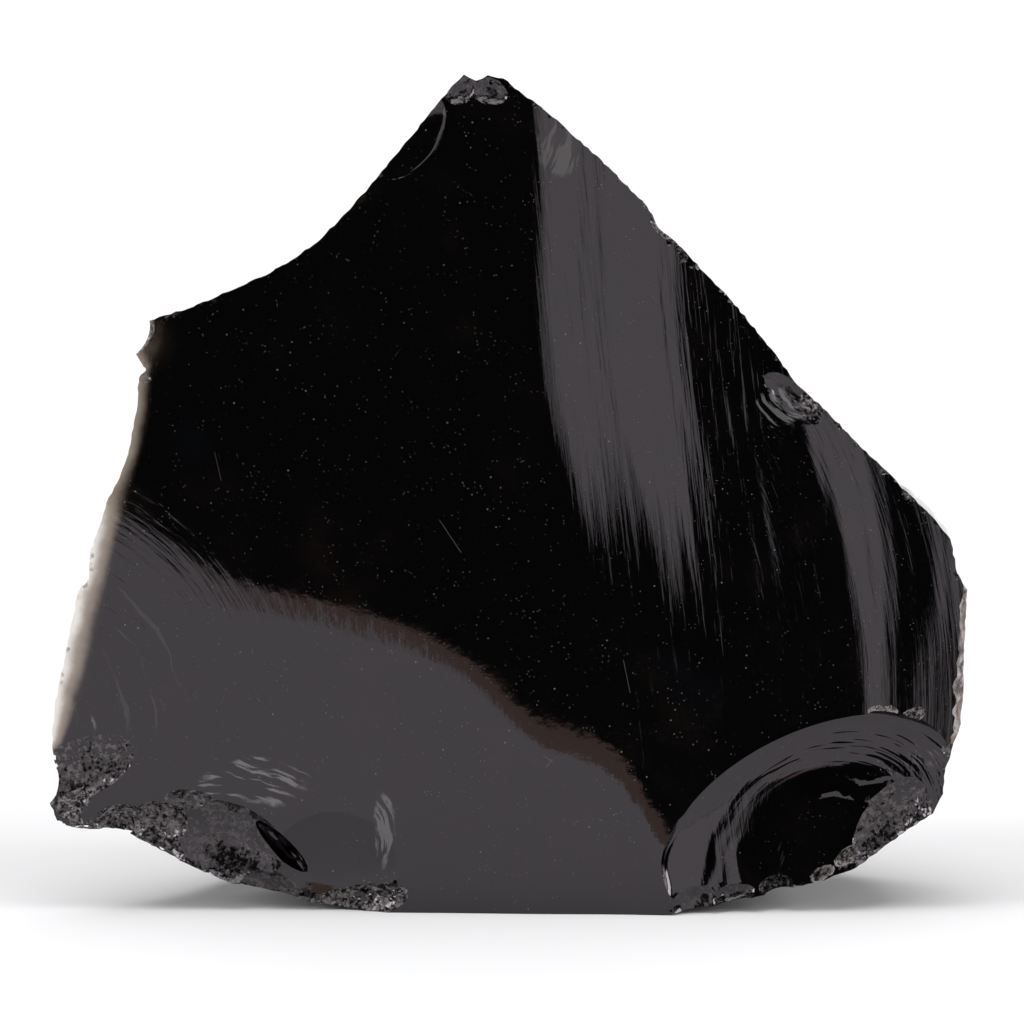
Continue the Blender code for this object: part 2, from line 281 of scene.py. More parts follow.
@dataclass(frozen=True)
class MirrorFace:
    """The broad front face: a lean, a bend along a knee line, and low ribs to the right.

    Attributes:
        front: Y of the face's lower edge.
        lean: depth gained per millimetre of height.
        knee_slope: further lean above the knee.
        knee_drift: depth gained per millimetre of the knee's height.
        knee_width: length over which the knee is rounded.
        knee_line: places along the knee, as (across, up).
        knee_ease: how far to each side that line's corners are evened out.
        panel_turn: rightward turn of the tall panel under the peak.
        panel_side: where its left side starts across, its slant, and the height it starts at.
        panel_sway: a height where that side is unswayed, and its sway's length per radian.
        panel_width: its width.
        panel_bends: lengths over which its left and right bends are rounded.
        panel_foot: how it fades in with height.
        far_turn: rightward turn of all that lies right of the panel's left side.
        far_bend: length over which that bend is rounded.
        rib_centre: centre of the arcs that the far ribs follow.
        rib_turn: turn of the inner rib.
        rib_start: its radius.
        rib_widths: its width at its foot, what it gains per millimetre, and above what height.
        rib_bends: lengths over which its two bends are rounded.
        rib_top: how the ribs fade out with height.
        rim_turn: turn of the outermost rib.
        rim_bend: length over which its bend is rounded.
        rim_line: its radius at some heights.
        bevel_line: the arris of the narrow bevel by the left edge, as (across, up).
        bevel_turn: leftward turn of that bevel.
        bevel_bend: length over which its arris is rounded.
        tall_wave: the panel's upright wave: its steepness, length per radian and start.
        streaks: the swells of the upright streaks.
        streak_side: how the streaks fade in past the panel's left side.
        streak_foot: how they fade in with height.
        streak_gain: how they grow further to the right.
        streak_strength: their strength left of that growth, and what it gains.
        rib_swells, rib_waves: the fine waves along the far ribs.
        rib_reach: how these fade in with radius.
        rib_height: how they fade out with height.
        arc_centre: centre of the fine arcs by the lower left edge.
        arc_swells, arc_waves: those arcs.
        arc_reach: radius at which they have died out.
        arc_fade: length over which they die out.
        broad: the unevenness of the whole face.
        spacing: distance between the face's vertices.
        margin: how far the cutter overlaps the outline.
        thickness: how far the cutter reaches in front of the face's lower edge.
    """

    front: float = -29.15
    lean: float = 0.035
    knee_slope: float = 0.095
    knee_drift: float = 0.0735
    knee_width: float = 12.5
    knee_line: tuple = (
        (-70, 54.8), (-50, 50.2), (-43, 45.5), (-36, 41.6), (-24, 38.2), (-15, 35.8), (-7, 32.0),
        (-2.5, 28.0), (2, 23.2), (8, 20.8), (13.5, 19.6), (17.5, 14), (21, 7), (24, 1.5),
        (27, -1.5), (70, -3),
    )
    knee_ease: float = 3.0
    panel_turn: float = 0.130
    panel_side: tuple = (2.3, 0.10, 101.9)
    panel_sway: tuple = (60.0, 9.0)
    panel_width: float = 18.6
    panel_bends: tuple = (8.0, 9.0)
    panel_foot: Fade = Fade(52.0, 34.0)
    far_turn: float = 0.02
    far_bend: float = 6.0
    rib_centre: tuple = (-25.6, 27.8)
    rib_turn: float = 0.12
    rib_start: float = 72.3
    rib_widths: tuple = (3.4, 0.16, 34.0)
    rib_bends: tuple = (1.6, 4.4)
    rib_top: Fade = Fade(67.0, -9.0)
    rim_turn: float = 0.056
    rim_bend: float = 1.8
    rim_line: tuple = ((24.0, 77.2), (28.0, 77.8), (33.0, 79.0), (41.0, 81.2), (50.0, 82.5))
    bevel_line: tuple = (
        (-46.6, 72.0), (-46.9, 69.4), (-47.3, 64.2), (-48.1, 60.6), (-49.0, 57.6),
        (-49.9, 53.8), (-50.7, 50.6), (-51.5, 47.3), (-52.4, 43.4), (-53.2, 40.2),
        (-54.2, 35.6), (-55.1, 32.4), (-56.0, 29.1), (-56.7, 26.5), (-58.6, 22.0),
        (-64.0, 18.0),
    )
    bevel_turn: float = 0.10
    bevel_bend: float = 0.25
    tall_wave: tuple = (0.02, 1.9, 2.3)
    streaks: tuple = (Swell(3.4, 0.0085, 11, drawn=11.0), Swell(1.7, 0.0032, 12, 12, 16.0))
    streak_side: Fade = Fade(-1.0, 4.0)
    streak_foot: Fade = Fade(38.0, 14.0)
    streak_gain: Fade = Fade(12.0, 8.0)
    streak_strength: tuple = (0.5, 1.2)
    rib_swells: tuple = (Swell(3.1, 0.006, 13), Swell(1.5, 0.0022, 14))
    rib_waves: ArcWaves = ArcWaves(rib_centre, 6.0, rib_swells)
    rib_reach: Fade = Fade(69.0, 6.0)
    rib_height: Fade = Fade(70.0, -8.0)
    arc_centre: tuple = (-65.5, 24.0)
    arc_swells: tuple = (Swell(2.6, 0.005, 15), Swell(1.4, 0.0022, 16))
    arc_waves: ArcWaves = ArcWaves(arc_centre, 7.0, arc_swells)
    arc_reach: float = 44.0
    arc_fade: float = 16.0
    broad: Swell = Swell(26.0, 0.010, 17)
    spacing: float = 0.5
    margin: float = 6.0
    thickness: float = 30.0

    def knee_height(self, across: Any) -> Any:
        """Height of the knee line.

        Args:
            across: place along X, a number or an array.

        Returns:
            The height there.
        """
        places, heights = zip(*self.knee_line)
        shifts = np.linspace(-self.knee_ease, self.knee_ease, 5)
        return sum(np.interp(across + shift, places, heights) for shift in shifts) / len(shifts)

    def bevel_across(self, up: Any) -> Any:
        """Place across of the bevel's arris at a height."""
        places, heights = zip(*reversed(self.bevel_line))
        return np.interp(up, heights, places)

    def beside_panel(self, across: Any, up: Any) -> Any:
        """Distance to the right of the panel's left side.

        Args:
            across: place along X, a number or an array.
            up: height, a number or an array.

        Returns:
            The distance.
        """
        start, slant, top = self.panel_side
        middle, length = self.panel_sway
        return across - (start + slant * (top - up)) + np.sin((up - middle) / length)

    def depth(self, across: Any, up: Any) -> Any:
        """How far the face lies behind its lower edge.

        Args:
            across: place along X, a number or an array.
            up: height, a number or an array.

        Returns:
            The depth there.
        """
        knee = self.knee_height(across)
        depth = self.lean * up + self.knee_drift * knee
        depth = depth + self.knee_slope * ramp(up - knee, self.knee_width)
        beside = self.beside_panel(across, up)
        left_bend, right_bend = self.panel_bends
        panel = ramp(beside, left_bend) - ramp(beside - self.panel_width, right_bend)
        depth = depth + self.panel_foot.at(up) * self.panel_turn * panel
        depth = depth + self.far_turn * ramp(beside, self.far_bend)
        radius = self.rib_waves.radius(across, up)
        past = radius - self.rib_start
        foot, gain, above = self.rib_widths
        width = foot + gain * np.maximum(up - above, 0.0)
        inner_bend, outer_bend = self.rib_bends
        rib = self.rib_turn * (ramp(past, inner_bend) - ramp(past - width, outer_bend))
        heights, radii = zip(*self.rim_line)
        rim = self.rim_turn * ramp(radius - np.interp(up, heights, radii), self.rim_bend)
        return depth + self.rib_top.at(up) * (rib + rim)

    def waves(self, across: np.ndarray, up: np.ndarray) -> np.ndarray:
        """Depth of the fine waves: upright streaks to the right, arcs by the left edge.

        Args:
            across: places along X.
            up: heights.

        Returns:
            The depth there.
        """
        beside = self.beside_panel(across, up)
        steepness, length, start = self.tall_wave
        tall = steepness * length * np.sin((beside - start) / length)
        least, gain = self.streak_strength
        strength = self.streak_gain.at(beside) * gain + least
        fine = sum(swell.at(beside, up) for swell in self.streaks)
        inside = self.streak_side.at(beside) * self.streak_foot.at(up)
        streaks = inside * (tall + strength * fine)

        far = self.rib_reach.at(self.rib_waves.radius(across, up)) * self.rib_height.at(up)
        ribs = far * self.rib_waves.at(across, up)

        left = self.arc_reach - self.arc_waves.radius(across, up)
        arcs = np.clip(left / self.arc_fade, 0.0, 1.0) * self.arc_waves.at(across, up)
        return streaks + ribs + arcs + self.broad.at(across, up)

    def bevel(self, across: np.ndarray, up: np.ndarray) -> np.ndarray:
        """Depth of the narrow bevel by the left edge."""
        return self.bevel_turn * ramp(self.bevel_across(up) - across, self.bevel_bend)

    def point(self, across: float, up: float) -> Vector:
        """The point of the face at a place across and up."""
        return Vector((across, self.front + float(self.depth(across, up)), up))

    def normal(self, across: float, up: float, step: float = 1.5) -> Vector:
        """The face's outward direction.

        Args:
            across: place along X.
            up: height.
            step: how far to each side the slope is read.

        Returns:
            The direction.
        """
        slope_x = float(self.depth(across + step, up) - self.depth(across - step, up))
        slope_z = float(self.depth(across, up + step) - self.depth(across, up - step))
        return Vector((slope_x / (2 * step), -1.0, slope_z / (2 * step))).normalized()

    def cutter(self, low: Vector, high: Vector) -> bpy.types.Object:
        """Everything in front of the face.

        Args:
            low: lowest across and up of the outline.
            high: highest across and up of it.

        Returns:
            The cutter.
        """
        middle = (low + high) / 2
        size = high - low + 2 * Vector((self.margin, self.margin))

        def surface(x: np.ndarray, y: np.ndarray) -> np.ndarray:
            """Height of the slab's lower side, which becomes the face.

            Args:
                x: places across from the outline's middle.
                y: places up from it.

            Returns:
                The heights there.
            """
            across, up = middle.x + x, middle.y + y
            depth = self.depth(across, up) + self.waves(across, up) + self.bevel(across, up)
            return -depth

        bm = slab(size, self.spacing, surface, self.thickness)
        upright = Matrix.Rotation(math.radians(90), 4, "X")
        place = Matrix.Translation((middle.x, self.front, middle.y)) @ upright
        bmesh.ops.transform(bm, matrix=place, verts=bm.verts)
        return mesh_object("mirror_face", bm, {Mark.MIRROR: 1.0})


@dataclass(frozen=True)
class Outline:
    """The mirror face's outline, in runs clockwise from the peak, as (across, up).

    Attributes:
        peak, right_slope, right_side, right_underside: the runs down the right.
        base: the two ends of the resting edge.
        left_underside, left_edge, left_corner, scallop: the runs up the left.
        spacing: longest distance between the points of the fine outline.
        raggedness: how far those points stray from the runs.
    """

    peak: tuple = ((-6.6, 107.7), (-5.6, 108.7), (-4.0, 107.9), (-2.5, 108.6), (-0.5, 108.2))
    right_slope: tuple = (
        (1.7, 106.5), (4.9, 104.1), (8.0, 101.4), (13.8, 96.1), (18.2, 91.6), (19.0, 90.4),
        (19.6, 88.9), (22.5, 86.3), (25.7, 82.9), (28.9, 79.7), (33.2, 74.5), (35.8, 71.2),
        (38.1, 68.1), (41.9, 64.7), (45.0, 61.4), (48.9, 57.7), (52.2, 54.4), (55.5, 51.3),
    )
    right_side: tuple = (
        (57.9, 48.4), (58.8, 43.9), (60.2, 41.6), (59.9, 35.0), (59.7, 27.8), (59.4, 24.1),
        (58.3, 22.0), (57.2, 18.5), (56.9, 15.5),
    )
    right_underside: tuple = (
        (55.6, 13.0), (51.9, 10.2), (48.0, 7.2), (45.0, 5.6), (41.5, 4.2), (37.5, 3.3),
        (33.5, 2.3), (29.5, 1.6), (26.0, 0.9), (23.0, 0.5),
    )
    base: tuple = ((20.4, 0.0), (-18.6, 0.0))
    left_underside: tuple = (
        (-21.7, 0.5), (-26.5, 1.2), (-31.5, 2.2), (-35.4, 3.4), (-38.2, 4.6), (-41.5, 6.1),
        (-44.6, 7.9), (-47.7, 9.4), (-51.0, 10.7), (-56.0, 10.9), (-58.6, 11.4),
    )
    left_edge: tuple = (
        (-60.0, 15.2), (-59.0, 17.9), (-59.4, 23.3), (-59.0, 27.0), (-58.4, 30.0),
        (-57.6, 33.5), (-56.6, 38.5), (-55.9, 41.9), (-54.5, 43.6), (-54.2, 47.4),
        (-53.0, 50.6), (-52.1, 53.6), (-50.4, 56.8), (-49.3, 59.8), (-48.6, 63.2),
        (-48.0, 67.0), (-47.9, 69.9),
    )
    left_corner: tuple = ((-47.3, 71.2), (-48.6, 73.2), (-48.3, 75.0), (-46.6, 77.0))
    scallop: tuple = (
        (-41.7, 78.5), (-37.8, 80.1), (-34.3, 81.6), (-30.8, 83.2), (-28.1, 84.8),
        (-25.2, 86.8), (-22.0, 89.8), (-18.0, 94.2), (-14.0, 98.9), (-10.8, 102.8),
        (-8.5, 105.7),
    )
    spacing: float = 0.7
    raggedness: float = 0.10

    def points(self) -> list[tuple]:
        """Join the runs.

        Returns:
            The outline's own points, clockwise from the peak.
        """
        right = self.peak + self.right_slope + self.right_side + self.right_underside
        left = self.base + self.left_underside + self.left_edge + self.left_corner
        return [*right, *left, *self.scallop]

    def extent(self) -> tuple[Vector, Vector]:
        """Lowest and highest across and up."""
        places = np.array(self.points())
        return Vector(places.min(axis=0)), Vector(places.max(axis=0))

    def fine_points(self, seed: int = 5) -> list[tuple]:
        """The outline with short ragged steps everywhere but along the base.

        Args:
            seed: which ragged line of this kind.

        Returns:
            Its points, clockwise from the peak.
        """
        draw = random.Random(seed)
        corners = self.points()
        fine = []
        for start, end in zip(corners, corners[1:] + corners[:1]):
            first, last = Vector(start), Vector(end)
            fine.append(start)
            if start in self.base and end in self.base:
                continue
            side = Vector((last.y - first.y, first.x - last.x)).normalized()
            steps = max(1, round((last - first).length / self.spacing))
            for step in range(1, steps):
                stray = side * draw.uniform(-1.0, 1.0) * self.raggedness
                fine.append(tuple(first.lerp(last, step / steps) + stray))
        return fine

    def even_points(self, fine: np.ndarray, reach: int = 3) -> np.ndarray:
        """The ragged outline, evened out where its points lie close together.

        Args:
            fine: the ragged outline's points.
            reach: how many neighbours on each side a point is evened with.

        Returns:
            As many points.
        """
        near = [np.roll(fine, shift, axis=0) for shift in range(-reach, reach + 1)]
        spread = np.max([np.hypot(*(shifted - fine).T) for shifted in near], axis=0)
        return np.where(spread[:, None] < self.spacing * (reach + 2), sum(near) / len(near), fine)

    def stretch(self, start: tuple, end: tuple, step: float = 0.25) -> list[Vector]:
        """Evenly spaced places along part of the outline, going clockwise.

        Args:
            start: a place near where the part starts.
            end: a place near where it ends.
            step: distance between places.

        Returns:
            The places.
        """
        corners = [Vector(point) for point in self.points()]
        first = min(range(len(corners)), key=lambda i: (corners[i] - Vector(start)).length)
        last = min(range(len(corners)), key=lambda i: (corners[i] - Vector(end)).length)
        if last <= first:
            last += len(corners)
        places = []
        for index in range(first, last):
            here, there = corners[index % len(corners)], corners[(index + 1) % len(corners)]
            count = max(1, round((there - here).length / step))
            places += [here.lerp(there, part / count) for part in range(count)]
        return places


# ---------------------------------------------------------------------------
# What is struck off the block
# ---------------------------------------------------------------------------


def seed_of(name: str) -> int:
    """A seed for chance that depends on a name alone."""
    return sum(map(ord, name))


class Texture(Enum):
    """What a scar's surface is like."""

    RIPPLED = "rippled"
    WEATHERED = "weathered"


@dataclass(frozen=True)
class Bowl:
    """A broad hollow plane, everything outside which is struck off.

    Attributes:
        name: the scar's name.
        place: the deepest place of the bowl.
        outward: its outward direction there.
        radius: the bowl's radius.
        struck: the impact point's place, across and up in the bowl's own plane.
        reach: the bowl's width.
        spacing: distance between its vertices.
        texture: what its surface is like.
        thickness: how far its cutter reaches above the deepest place.
        rings: height and wavelength of the waves that ran out from the blow.
        ring_strength: what their heights are multiplied by.
        ring_reach: distance over which they die down.
        ring_wander: wavelength and height of the swell by which the rings wander.
        uneven: wavelength and height of the bowl's own unevenness.
        crags: the swells of a weathered rind.
    """

    name: str
    place: Vector
    outward: Vector
    radius: float
    struck: tuple
    reach: float = 168.0
    spacing: float = 1.25
    texture: Texture = Texture.RIPPLED
    thickness: float = 75.0
    rings: tuple = ((0.13, 9.5), (0.05, 3.9))
    ring_strength: float = 1.6
    ring_reach: float = 60.0
    ring_wander: tuple = (22.0, 0.9)
    uneven: tuple = (17.0, 0.12)
    crags: tuple = (Swell(7.0, 0.42, 41, 14), Swell(2.4, 0.20, 42, 16))

    def ripples(self, u: np.ndarray, v: np.ndarray) -> np.ndarray:
        """Height of the waves that ran out from the blow, over the bowl's unevenness.

        Args:
            u: places across, in the bowl's own plane.
            v: places up, in the bowl's own plane.

        Returns:
            The heights there.
        """
        seed = seed_of(self.name)
        away = np.hypot(u - self.struck[0], v - self.struck[1])
        away = away + Swell(*self.ring_wander, seed).at(u, v)
        waves = sum(
            height * np.sin(math.tau * away / length + order * seed)
            for order, (height, length) in enumerate(self.rings, 1)
        )
        uneven = Swell(*self.uneven, seed + 1).at(u, v)
        return np.exp(-away / self.ring_reach) * waves * self.ring_strength + uneven

    def surface(self, u: np.ndarray, v: np.ndarray) -> np.ndarray:
        """Height of the bowl over its own plane.

        Args:
            u: places across, in that plane.
            v: places up, in that plane.

        Returns:
            The heights there.
        """
        bowl = (u * u + v * v) / (2 * self.radius)
        if self.texture is Texture.WEATHERED:
            return bowl - sum(np.abs(swell.at(u, v)) for swell in self.crags)
        return bowl + self.ripples(u, v)

    def frame(self) -> Matrix:
        """The bowl's own axes: Z outward, at its deepest place."""
        turn = self.outward.to_track_quat("Z", "Y").to_matrix().to_4x4()
        return Matrix.Translation(self.place) @ turn

    def cutter(self) -> bpy.types.Object:
        """Everything outside the bowl.

        Returns:
            The cutter.
        """
        size = Vector((self.reach, self.reach))
        bm = slab(size, self.spacing, self.surface, self.thickness)
        bmesh.ops.transform(bm, matrix=self.frame(), verts=bm.verts)
        rind = 1.0 if self.texture is Texture.WEATHERED else 0.0
        return mesh_object(self.name, bm, {Mark.RIND: rind})


@dataclass(frozen=True)
class RimScar:
    """A bowl that starts just behind the mirror face's rim.

    Attributes:
        name: the scar's name.
        across, up: the place on the outline where it starts.
        heading: its heading out of the face, in degrees from +X towards +Z.
        wedge: the angle of the stone's edge there, in degrees.
        run: distance from the rim to the bowl's deepest place.
        bowl: the bowl's radius.
        texture: what its surface is like.
        rind_mesh: a weathered bowl's width and the distance between its vertices.
    """

    name: str
    across: float
    up: float
    heading: float
    wedge: float
    run: float
    bowl: float
    texture: Texture = Texture.RIPPLED
    rind_mesh: tuple = (110.0, 0.6)

    def shape(self, face: MirrorFace, edge: float) -> Bowl:
        """The bowl of this scar.

        Args:
            face: the mirror face whose rim it starts from.
            edge: thickness of the wall that is left behind the rim.

        Returns:
            The bowl.
        """
        heading = math.radians(self.heading)
        out_of_rim = Vector((math.cos(heading), 0.0, math.sin(heading)))
        wedge = math.radians(self.wedge) + math.atan(self.run / self.bowl)
        outward = out_of_rim * math.sin(wedge) + BACKWARDS * math.cos(wedge)
        down_scar = BACKWARDS * math.sin(wedge) - out_of_rim * math.cos(wedge)
        rim = face.point(self.across, self.up) + BACKWARDS * edge
        place = rim + down_scar * self.run - outward * self.run**2 / (2 * self.bowl)
        turn = outward.to_track_quat("Z", "Y").to_matrix()
        struck = turn.inverted() @ (-down_scar * self.run)
        blow = (struck.x, struck.y)
        if self.texture is Texture.WEATHERED:
            return Bowl(self.name, place, outward, self.bowl, blow, *self.rind_mesh, self.texture)
        return Bowl(self.name, place, outward, self.bowl, blow)


@dataclass(frozen=True)
class BackScar:
    """A bowl on the back of the block.

    Attributes:
        name: the scar's name.
        across, behind, up: its deepest place, behind the mirror face's lower edge.
        outward: its outward direction there.
        bowl: the bowl's radius.
        struck: direction of the blow that made it, in degrees in the bowl's own plane.
        reach: the bowl's width.
        blow_run: distance from the deepest place to the impact point.
    """

    name: str
    across: float
    behind: float
    up: float
    outward: tuple
    bowl: float
    struck: float
    reach: float = 168.0
    blow_run: float = 38.0

    def shape(self, face: MirrorFace, edge: float) -> Bowl:
        """The bowl of this scar.

        Args:
            face: the mirror face, whose lower edge its place is counted from.
            edge: unused, as no wall is left at the back.

        Returns:
            The bowl.
        """
        place = Vector((self.across, face.front + self.behind, self.up))
        heading = math.radians(self.struck)
        struck = (self.blow_run * math.cos(heading), self.blow_run * math.sin(heading))
        outward = Vector(self.outward).normalized()
        return Bowl(self.name, place, outward, self.bowl, struck, reach=self.reach)


@dataclass(frozen=True)
class Flake:
    """A shallow ellipsoidal bite out of the mirror face.

    Attributes:
        name: the flake's name.
        across, up: its middle.
        half_length, half_width: its size where it meets the face.
        depth: its depth there.
        turn: its long axis's turn up from the horizontal, in degrees.
        tip: how far its lower side is tipped out of the face, in degrees.
        rise: height of the ellipsoid's centre over the face, per half thickness.
        ripple: height of the waves on it.
        wave: their length.
        crush: how crushed its surface is; 1 is all crushed, and more adds whiter powder, partly
            crushed glass and partly painted glints.
        detail: subdivisions of its icosphere.
        overtone: height and length of the finer waves, as parts of those of the main ones.
        bend: wavelength and height of the swell by which the waves wander.
        bend_reach: the half size on which that swell is read.
        patch: wavelength and height of the swell by which the waves come and go.
        patch_range: the least and the most that is left of them.
    """

    name: str
    across: float
    up: float
    half_length: float
    half_width: float
    depth: float
    turn: float
    tip: float = 0.0
    rise: float = 0.62
    ripple: float = 0.02
    wave: float = 1.6
    crush: float = 0.0
    detail: int = 4
    overtone: tuple = (0.6, 0.47)
    bend: tuple = (5.0, 0.5)
    bend_reach: float = 9.0
    patch: tuple = (4.0, 0.6)
    patch_range: tuple = (0.0, 1.5)

    def waves(self, u: np.ndarray, v: np.ndarray) -> np.ndarray:
        """Height of the waves on the flake, before its ripple height.

        Args:
            u: places along the long axis, on a unit ball.
            v: places along the short axis, on a unit ball.

        Returns:
            The heights there.
        """
        seed = seed_of(self.name)
        reach = np.hypot(u, v) * self.half_width
        spin = np.arctan2(v, u)
        bend = Swell(*self.bend, seed).at(u * self.bend_reach, v * self.bend_reach)
        height, length = self.overtone
        waves = np.sin(math.tau * (reach + bend) / self.wave)
        waves += height * np.sin(math.tau * (reach + bend) / (self.wave * length) + spin)
        patch = Swell(*self.patch, seed + 1).at(spin * 2.0, reach / 2.0)
        return waves * np.clip(0.5 + patch, *self.patch_range)

    def cutter(self, face: MirrorFace) -> bpy.types.Object:
        """The flake's ellipsoid, waved along its rim.

        Args:
            face: the mirror face that it bites.

        Returns:
            The cutter.
        """
        outward = face.normal(self.across, self.up)
        level = Z_UP.cross(outward).normalized()
        turn = math.radians(self.turn)
        long_axis = level * math.cos(turn) + outward.cross(level) * math.sin(turn)
        half_thickness = self.depth / (1.0 - self.rise)
        grow = 1.0 / math.sqrt(1.0 - self.rise**2)
        centre = face.point(self.across, self.up) + outward * half_thickness * self.rise
        outward = Matrix.Rotation(math.radians(-self.tip), 3, long_axis) @ outward
        short_axis = outward.cross(long_axis)
        bm = bmesh.new()
        bmesh.ops.create_icosphere(bm, subdivisions=self.detail, radius=1.0)
        places = np.array([vert.co for vert in bm.verts])
        radii = Vector((self.half_length * grow, self.half_width * grow, half_thickness))
        for vert, wave in zip(bm.verts, self.waves(places[:, 0], places[:, 1])):
            vert.co = radii * vert.co + vert.co.normalized() * self.ripple * float(wave)
        turned = Matrix((long_axis, short_axis, outward)).transposed().to_4x4()
        bmesh.ops.transform(bm, matrix=Matrix.Translation(centre) @ turned, verts=bm.verts)
        return mesh_object(self.name, bm, {Mark.CRUSH: self.crush, Mark.MIRROR: 1.0})


@dataclass(frozen=True)
class ChipRun:
    """Small chips scattered along part of the outline, each with its own crushed face.

    Attributes:
        start, end: the ends of the part, going clockwise.
        count: how many chips.
        size: radius of the smallest and the largest.
        inset: how far in from the rim they may lie.
        back: how far behind the face they may lie.
        crush: how crushed they are, least and most.
        inset_share: the range of places between the rim and the inset.
        back_share: the range of places between the face and the farthest behind it.
        sink: how far forward a chip lies, as a part of its radius.
    """

    start: tuple
    end: tuple
    count: int
    size: tuple
    inset: float
    back: float
    crush: tuple
    inset_share: tuple = (-0.5, 1.0)
    back_share: tuple = (-0.4, 1.0)
    sink: float = 0.25

    def chips(self, outline: Outline, face: MirrorFace, draw: random.Random) -> list["Chip"]:
        """The chips of this run.

        Args:
            outline: the outline that they lie along.
            face: the mirror face.
            draw: the source of chance.

        Returns:
            The chips.
        """
        places = outline.stretch(self.start, self.end)
        low, high = outline.extent()
        middle = (low + high) / 2
        made = []
        for _ in range(self.count):
            place = draw.choice(places)
            radius = self.size[0] + (self.size[1] - self.size[0]) * draw.random() ** 2
            inset = draw.uniform(*self.inset_share) * self.inset
            centre = face.point(*(place + (middle - place).normalized() * inset))
            centre.y += draw.uniform(*self.back_share) * self.back - self.sink * radius
            crush = draw.uniform(*self.crush)
            made.append(Chip(centre, radius, crush, draw.randrange(1 << 30)))
        return made


@dataclass(frozen=True)
class Chip:
    """One small chip, a faceted lump that is struck off the rim.

    Attributes:
        centre: its middle.
        radius: its size.
        crush: how crushed the face that it leaves is.
        seed: which chip.
        large: the radius from which its lump is made finer.
        lumps: the range of its vertices' distances, as parts of the radius.
        flatness: the range of its thickness, as parts of the radius.
        narrowness: the range of its width.
        tilt: how far it tips up or down, in radians.
        patches: the range of its facets' crush, as parts of its own.
    """

    centre: Vector
    radius: float
    crush: float
    seed: int
    large: float = 1.1
    lumps: tuple = (0.86, 1.0)
    flatness: tuple = (0.45, 0.9)
    narrowness: tuple = (0.6, 1.0)
    tilt: float = 0.9
    patches: tuple = (0.5, 1.0)

    def add_to(self, bm: bmesh.types.BMesh, layer: Any) -> None:
        """Add the chip's lump to a mesh.

        Args:
            bm: the mesh.
            layer: the layer that holds how crushed a face is.
        """
        draw = random.Random(self.seed)
        detail = 1 if self.radius < self.large else 2
        made = bmesh.ops.create_icosphere(bm, subdivisions=detail, radius=self.radius)["verts"]
        for vert in made:
            vert.co *= draw.uniform(*self.lumps)
        squash = (1.0, draw.uniform(*self.flatness), draw.uniform(*self.narrowness), 1.0)
        turn = Matrix.Rotation(draw.uniform(0.0, math.tau), 4, "Y")
        tilt = Matrix.Rotation(draw.uniform(-self.tilt, self.tilt), 4, "X")
        place = Matrix.Translation(self.centre) @ turn @ tilt @ Matrix.Diagonal(squash)
        bmesh.ops.transform(bm, matrix=place, verts=made)
        for face in dict.fromkeys(face for vert in made for face in vert.link_faces):
            face[layer] = self.crush * draw.uniform(*self.patches)


def chip_cutters(chips: list[Chip]) -> list[bpy.types.Object]:
    """Group chips so that none in a group touches another, one cutter to a group.

    Args:
        chips: the chips.

    Returns:
        The cutters.
    """
    groups: list[list[Chip]] = []
    for chip in chips:
        for group in groups:
            if all((chip.centre - c.centre).length > chip.radius + c.radius for c in group):
                group.append(chip)
                break
        else:
            groups.append([chip])
    cutters = []
    for number, group in enumerate(groups):
        bm = bmesh.new()
        layer = bm.faces.layers.float.new(Mark.CRUSH.value)
        for chip in group:
            chip.add_to(bm, layer)
        cutters.append(mesh_object(f"chips_{number}", bm))
    return cutters


@dataclass(frozen=True)
class EdgeHollow:
    """The long hollow behind the left edge, which leaves that edge thin.

    Attributes:
        centre: its middle, as across, behind the mirror face's lower edge, and up.
        radii: its half lengths across, backwards and along.
        along: the direction of its long axis.
        long_wave: height and length of the blow's waves.
        short_wave: height of the finer ones and their radians per millimetre.
        slant: how far the waves rise per millimetre backwards.
        detail: subdivisions of its icosphere.
    """

    centre: tuple = (-61.7, 30.8, 50.0)
    radii: tuple = (26.0, 25.5, 84.0)
    along: tuple = (9.0, 1.7, 37.0)
    long_wave: tuple = (0.06, 7.3)
    short_wave: tuple = (0.02, 2.1)
    slant: float = 0.25
    detail: int = 6

    def cutter(self, face: MirrorFace) -> bpy.types.Object:
        """The hollow's ellipsoid, with the waves of the blow across it.

        Args:
            face: the mirror face, whose lower edge its place is counted from.

        Returns:
            The cutter.
        """
        along = Vector(self.along).normalized()
        across = BACKWARDS.cross(along).normalized()
        centre = Vector(self.centre) + BACKWARDS * face.front
        bm = ball(centre, (across, along.cross(across), along), self.radii, self.detail)
        rise, length = self.long_wave
        fine_rise, pace = self.short_wave
        for vert in bm.verts:
            height = vert.co.z + self.slant * (vert.co.y - centre.y)
            wave = rise * math.sin(math.tau * height / length)
            wave += fine_rise * math.sin(height * pace)
            vert.co += (vert.co - centre).normalized() * wave
        return mesh_object("left_edge_hollow", bm)


# ---------------------------------------------------------------------------
# Shader expressions
# ---------------------------------------------------------------------------


